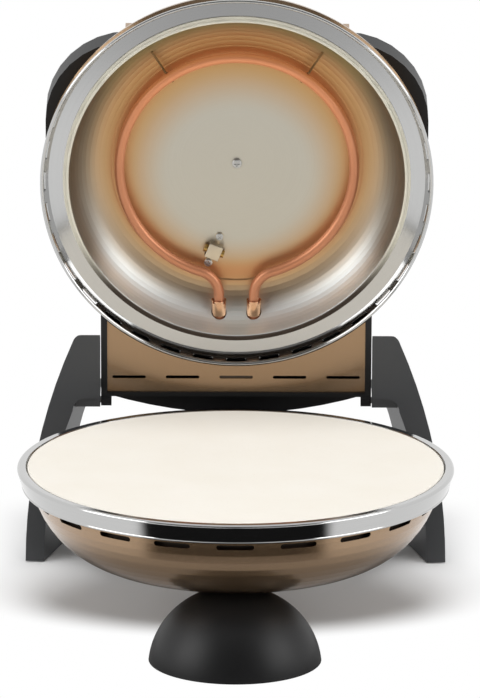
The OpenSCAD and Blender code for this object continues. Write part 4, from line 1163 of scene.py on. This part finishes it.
@dataclass
class Studio:
    """Camera, lamps, floor and surroundings."""

    focal_px: float = 8000.0
    photo_h: float = 698.0
    photo_mid: Pair = (240.0, 349.0)
    base_px: Pair = (236.1, 465.4)
    mm_per_px: float = 0.7458
    pitch: float = math.radians(14.81)
    roll: float = math.radians(0.21)
    film: float = 36.0
    floor_size: float = 14.0
    floor_y: float = 1.5
    pale: float = 0.86
    pale_seen: float = 0.84
    shade_x: float = 0.2
    shade_y: float = 0.13
    shade_at: float = 0.06
    shade_edge: Pair = (0.7, 1.08)
    behind_x: Pair = (0.14, 0.2)
    behind_from: Pair = (0.08, 0.13)
    behind_to: Pair = (0.24, 0.32)
    end_near: float = -0.46
    end_far: float = -0.66
    end_x: float = 0.5
    end_dim: float = 0.68
    patch_in: Pair = (0.17, 0.2)
    patch_out: Pair = (0.3, 0.34)
    patch_turn: Pair = (0.7, 0.8)
    under: Pair = (0.14, 0.26)
    under_dim: float = 0.78
    open_ahead: Pair = (-0.6, 0.1)
    open_side: Pair = (0.5, 0.9)
    open_above: Pair = (0.62, 0.95)
    back: float = 1.0
    fill: float = 0.6
    fill_front: float = 0.06
    sky: float = 0.3
    haze: float = 0.06
    key: float = 36.0
    key_at: Triple = (0.0, -0.15, 2.6)
    key_size: float = 1.2
    side: float = 22.0
    side_at: Triple = (2.0, -0.9, 1.1)
    side_size: float = 1.5

    def build(self) -> None:
        """Makes the whole stage."""
        self.camera()
        self.floor()
        self.world()
        self.lamps()
        bpy.context.scene.view_settings.view_transform = "Standard"

    def camera(self) -> None:
        """Makes the camera of the photograph: a long lens, a little above the object."""
        target = Vector((0, -LAYOUT.bowl_ahead, LAYOUT.rim_z))
        ahead = Vector((0, math.cos(self.pitch), -math.sin(self.pitch)))
        up = Vector((0, math.sin(self.pitch), math.cos(self.pitch)))
        across = (self.photo_mid[0] - self.base_px[0]) * self.mm_per_px * MM
        raised = (self.base_px[1] - self.photo_mid[1]) * self.mm_per_px * MM
        distance = self.focal_px * self.mm_per_px * MM
        data = bpy.data.cameras.new("camera")
        data.sensor_fit = "AUTO"
        data.sensor_width = self.film
        data.lens = self.focal_px * self.film / self.photo_h
        data.clip_end = 50.0
        view = bpy.data.objects.new("camera", data)
        view.location = target + Vector((across, 0, 0)) + up * raised - ahead * distance
        turn = ahead.to_track_quat("-Z", "Y").to_matrix().to_4x4() @ Matrix.Rotation(self.roll, 4, "Z")
        view.rotation_euler = turn.to_euler()
        bpy.context.scene.collection.objects.link(view)
        bpy.context.scene.camera = view

    def floor(self) -> None:
        """Makes a pale floor that shows as plain white, apart from the shadow under and behind the object.

        Metal mirrors it white too, apart from painted darkness that only metal sees: grey far ahead of the
        object, a painted dark patch right before it and a painted shadow under it.
        """
        deselect_all()
        bpy.ops.mesh.primitive_plane_add(size=self.floor_size, location=(0, self.floor_y, 0))
        floor = bpy.context.object
        floor.name = "floor"
        only(floor)
        bpy.ops.object.transform_apply(location=True, rotation=True, scale=True)
        tree = Tree("floor")
        camera = tree.ray("Camera")
        mirror = tree.ray("Glossy") + tree.ray("Transmission")
        x, y, _ = tree.split(tree.place())
        reach = y + LAYOUT.bowl_ahead
        radius = tree.radius(x, reach)
        # Painted darkness seen only by mirror rays: a grey far end, a dark patch before the object and a
        # painted shadow under it.
        beyond = (1 - y.ramp(self.end_far, self.end_near)) * x.near(0.0, self.end_x)
        ahead = (0 - reach / radius).ramp(*self.patch_turn)
        patch = radius.ramp(*self.patch_in) * (1 - radius.ramp(*self.patch_out)) * ahead
        oval = tree.radius(x / self.shade_x, (y - self.shade_at) / self.shade_y).ramp(*self.shade_edge)
        under = (1 - radius.ramp(*self.under)) * self.under_dim
        lit = (1 - beyond * self.end_dim) * (1 - patch) * (1 - under)
        dim = mirror * (1 - lit)
        shown = tree.mix(camera, (self.pale,) * 3, (self.pale_seen,) * 3)
        matt = tree.add("ShaderNodeBsdfDiffuse", {}, tree.mix(dim, shown, (0.01,) * 3))
        beside = 1 - x.size().ramp(*self.behind_x)
        behind = beside * y.ramp(*self.behind_from) * (1 - y.ramp(*self.behind_to))
        bare = oval * (1 - behind)
        white = tree.add("ShaderNodeEmission", {}, (1, 1, 1, 1), 1.0)
        both = tree.add("ShaderNodeMixShader", {}, (camera + mirror * (1 - dim)) * bare, matt, white)
        floor.data.materials.append(tree.finish(both))

    def world(self) -> None:
        """Makes a white surrounding that is dimmer on the camera's side and lights the object plainly."""
        tree = Tree("world", world=True)
        seen = tree.ray("Camera") + tree.ray("Transmission")
        x, y, z = tree.split(tree.add("ShaderNodeTexCoord", {}, out=0))
        ahead = y.ramp(*self.open_ahead)
        sides = x.size().ramp(*self.open_side)
        above = z.ramp(*self.open_above)
        open_ = 1 - (1 - ahead) * (1 - sides) * (1 - above)
        plain = tree.ray("Diffuse")
        mirrored = open_ * (self.fill - self.fill_front) + ahead * (self.back - self.fill) + self.fill_front
        lighting = z.ramp(0.0, 0.8) * (self.sky - self.haze) + self.haze
        soft = tree.add("ShaderNodeBackground", {}, (1, 1, 1, 1), mirrored * (1 - plain) + lighting * plain)
        white = tree.add("ShaderNodeBackground", {}, (1, 1, 1, 1), 1.0)
        bpy.context.scene.world = tree.finish(tree.add("ShaderNodeMixShader", {}, seen, soft, white))

    def lamps(self) -> None:
        """Hangs the soft boxes; the top one isn't mirrored in the metal."""
        x, y, z = self.side_at
        self.lamp("left", (-x, y, z), self.side_size, self.side)
        self.lamp("right", (x, y, z), self.side_size, self.side * 0.9)
        self.lamp("top", self.key_at, self.key_size, self.key).visible_glossy = False

    @staticmethod
    def lamp(name: str, place: Triple, size: float, power: float) -> bpy.types.Object:
        """Adds one square soft box that looks at the object.

        Args:
            name: The lamp's name.
            place: Where it hangs.
            size: Its side.
            power: Its power in watts.

        Returns:
            The lamp.
        """
        data = bpy.data.lights.new(name, "AREA")
        data.shape = "SQUARE"
        data.size = size
        data.energy = power
        lamp = bpy.data.objects.new(name, data)
        lamp.location = place
        lamp.rotation_euler = (Vector((0, 0, 0.2)) - Vector(place)).to_track_quat("-Z", "Y").to_euler()
        bpy.context.scene.collection.objects.link(lamp)
        return lamp


@dataclass
class CarriedNodes:
    """CAD nodes that show with their own shape."""

    finishes: Finishes

    def dress(self) -> None:
        """Gives every node its finish."""
        special = {
            "lid_ring": self.finishes.lid_chrome,
            # The terminal blocks take the dark brown of painted shade.
            "lid_terminals": self.finishes.terminals_painted_shade,
        }
        for name, node in frame["nodes"].items():
            slot = SLOTS[name]
            material = special.get(name, self.finishes[slot])
            node.data.materials.clear()
            node.data.materials.append(material)
            log.info("%s carried over as %s", name, slot)


def main() -> None:
    """Builds the stage and the pieces, in order."""
    logging.basicConfig(level=logging.INFO, format="%(message)s")
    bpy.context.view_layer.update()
    Studio().build()
    finishes = Finishes()
    CarriedNodes(finishes).dress()
    MouldedParts(finishes).build()
    CrossScrews(finishes).build()
    DishFittings(finishes).build()
    Control(finishes).build()


if __name__ == "__main__":
    main()
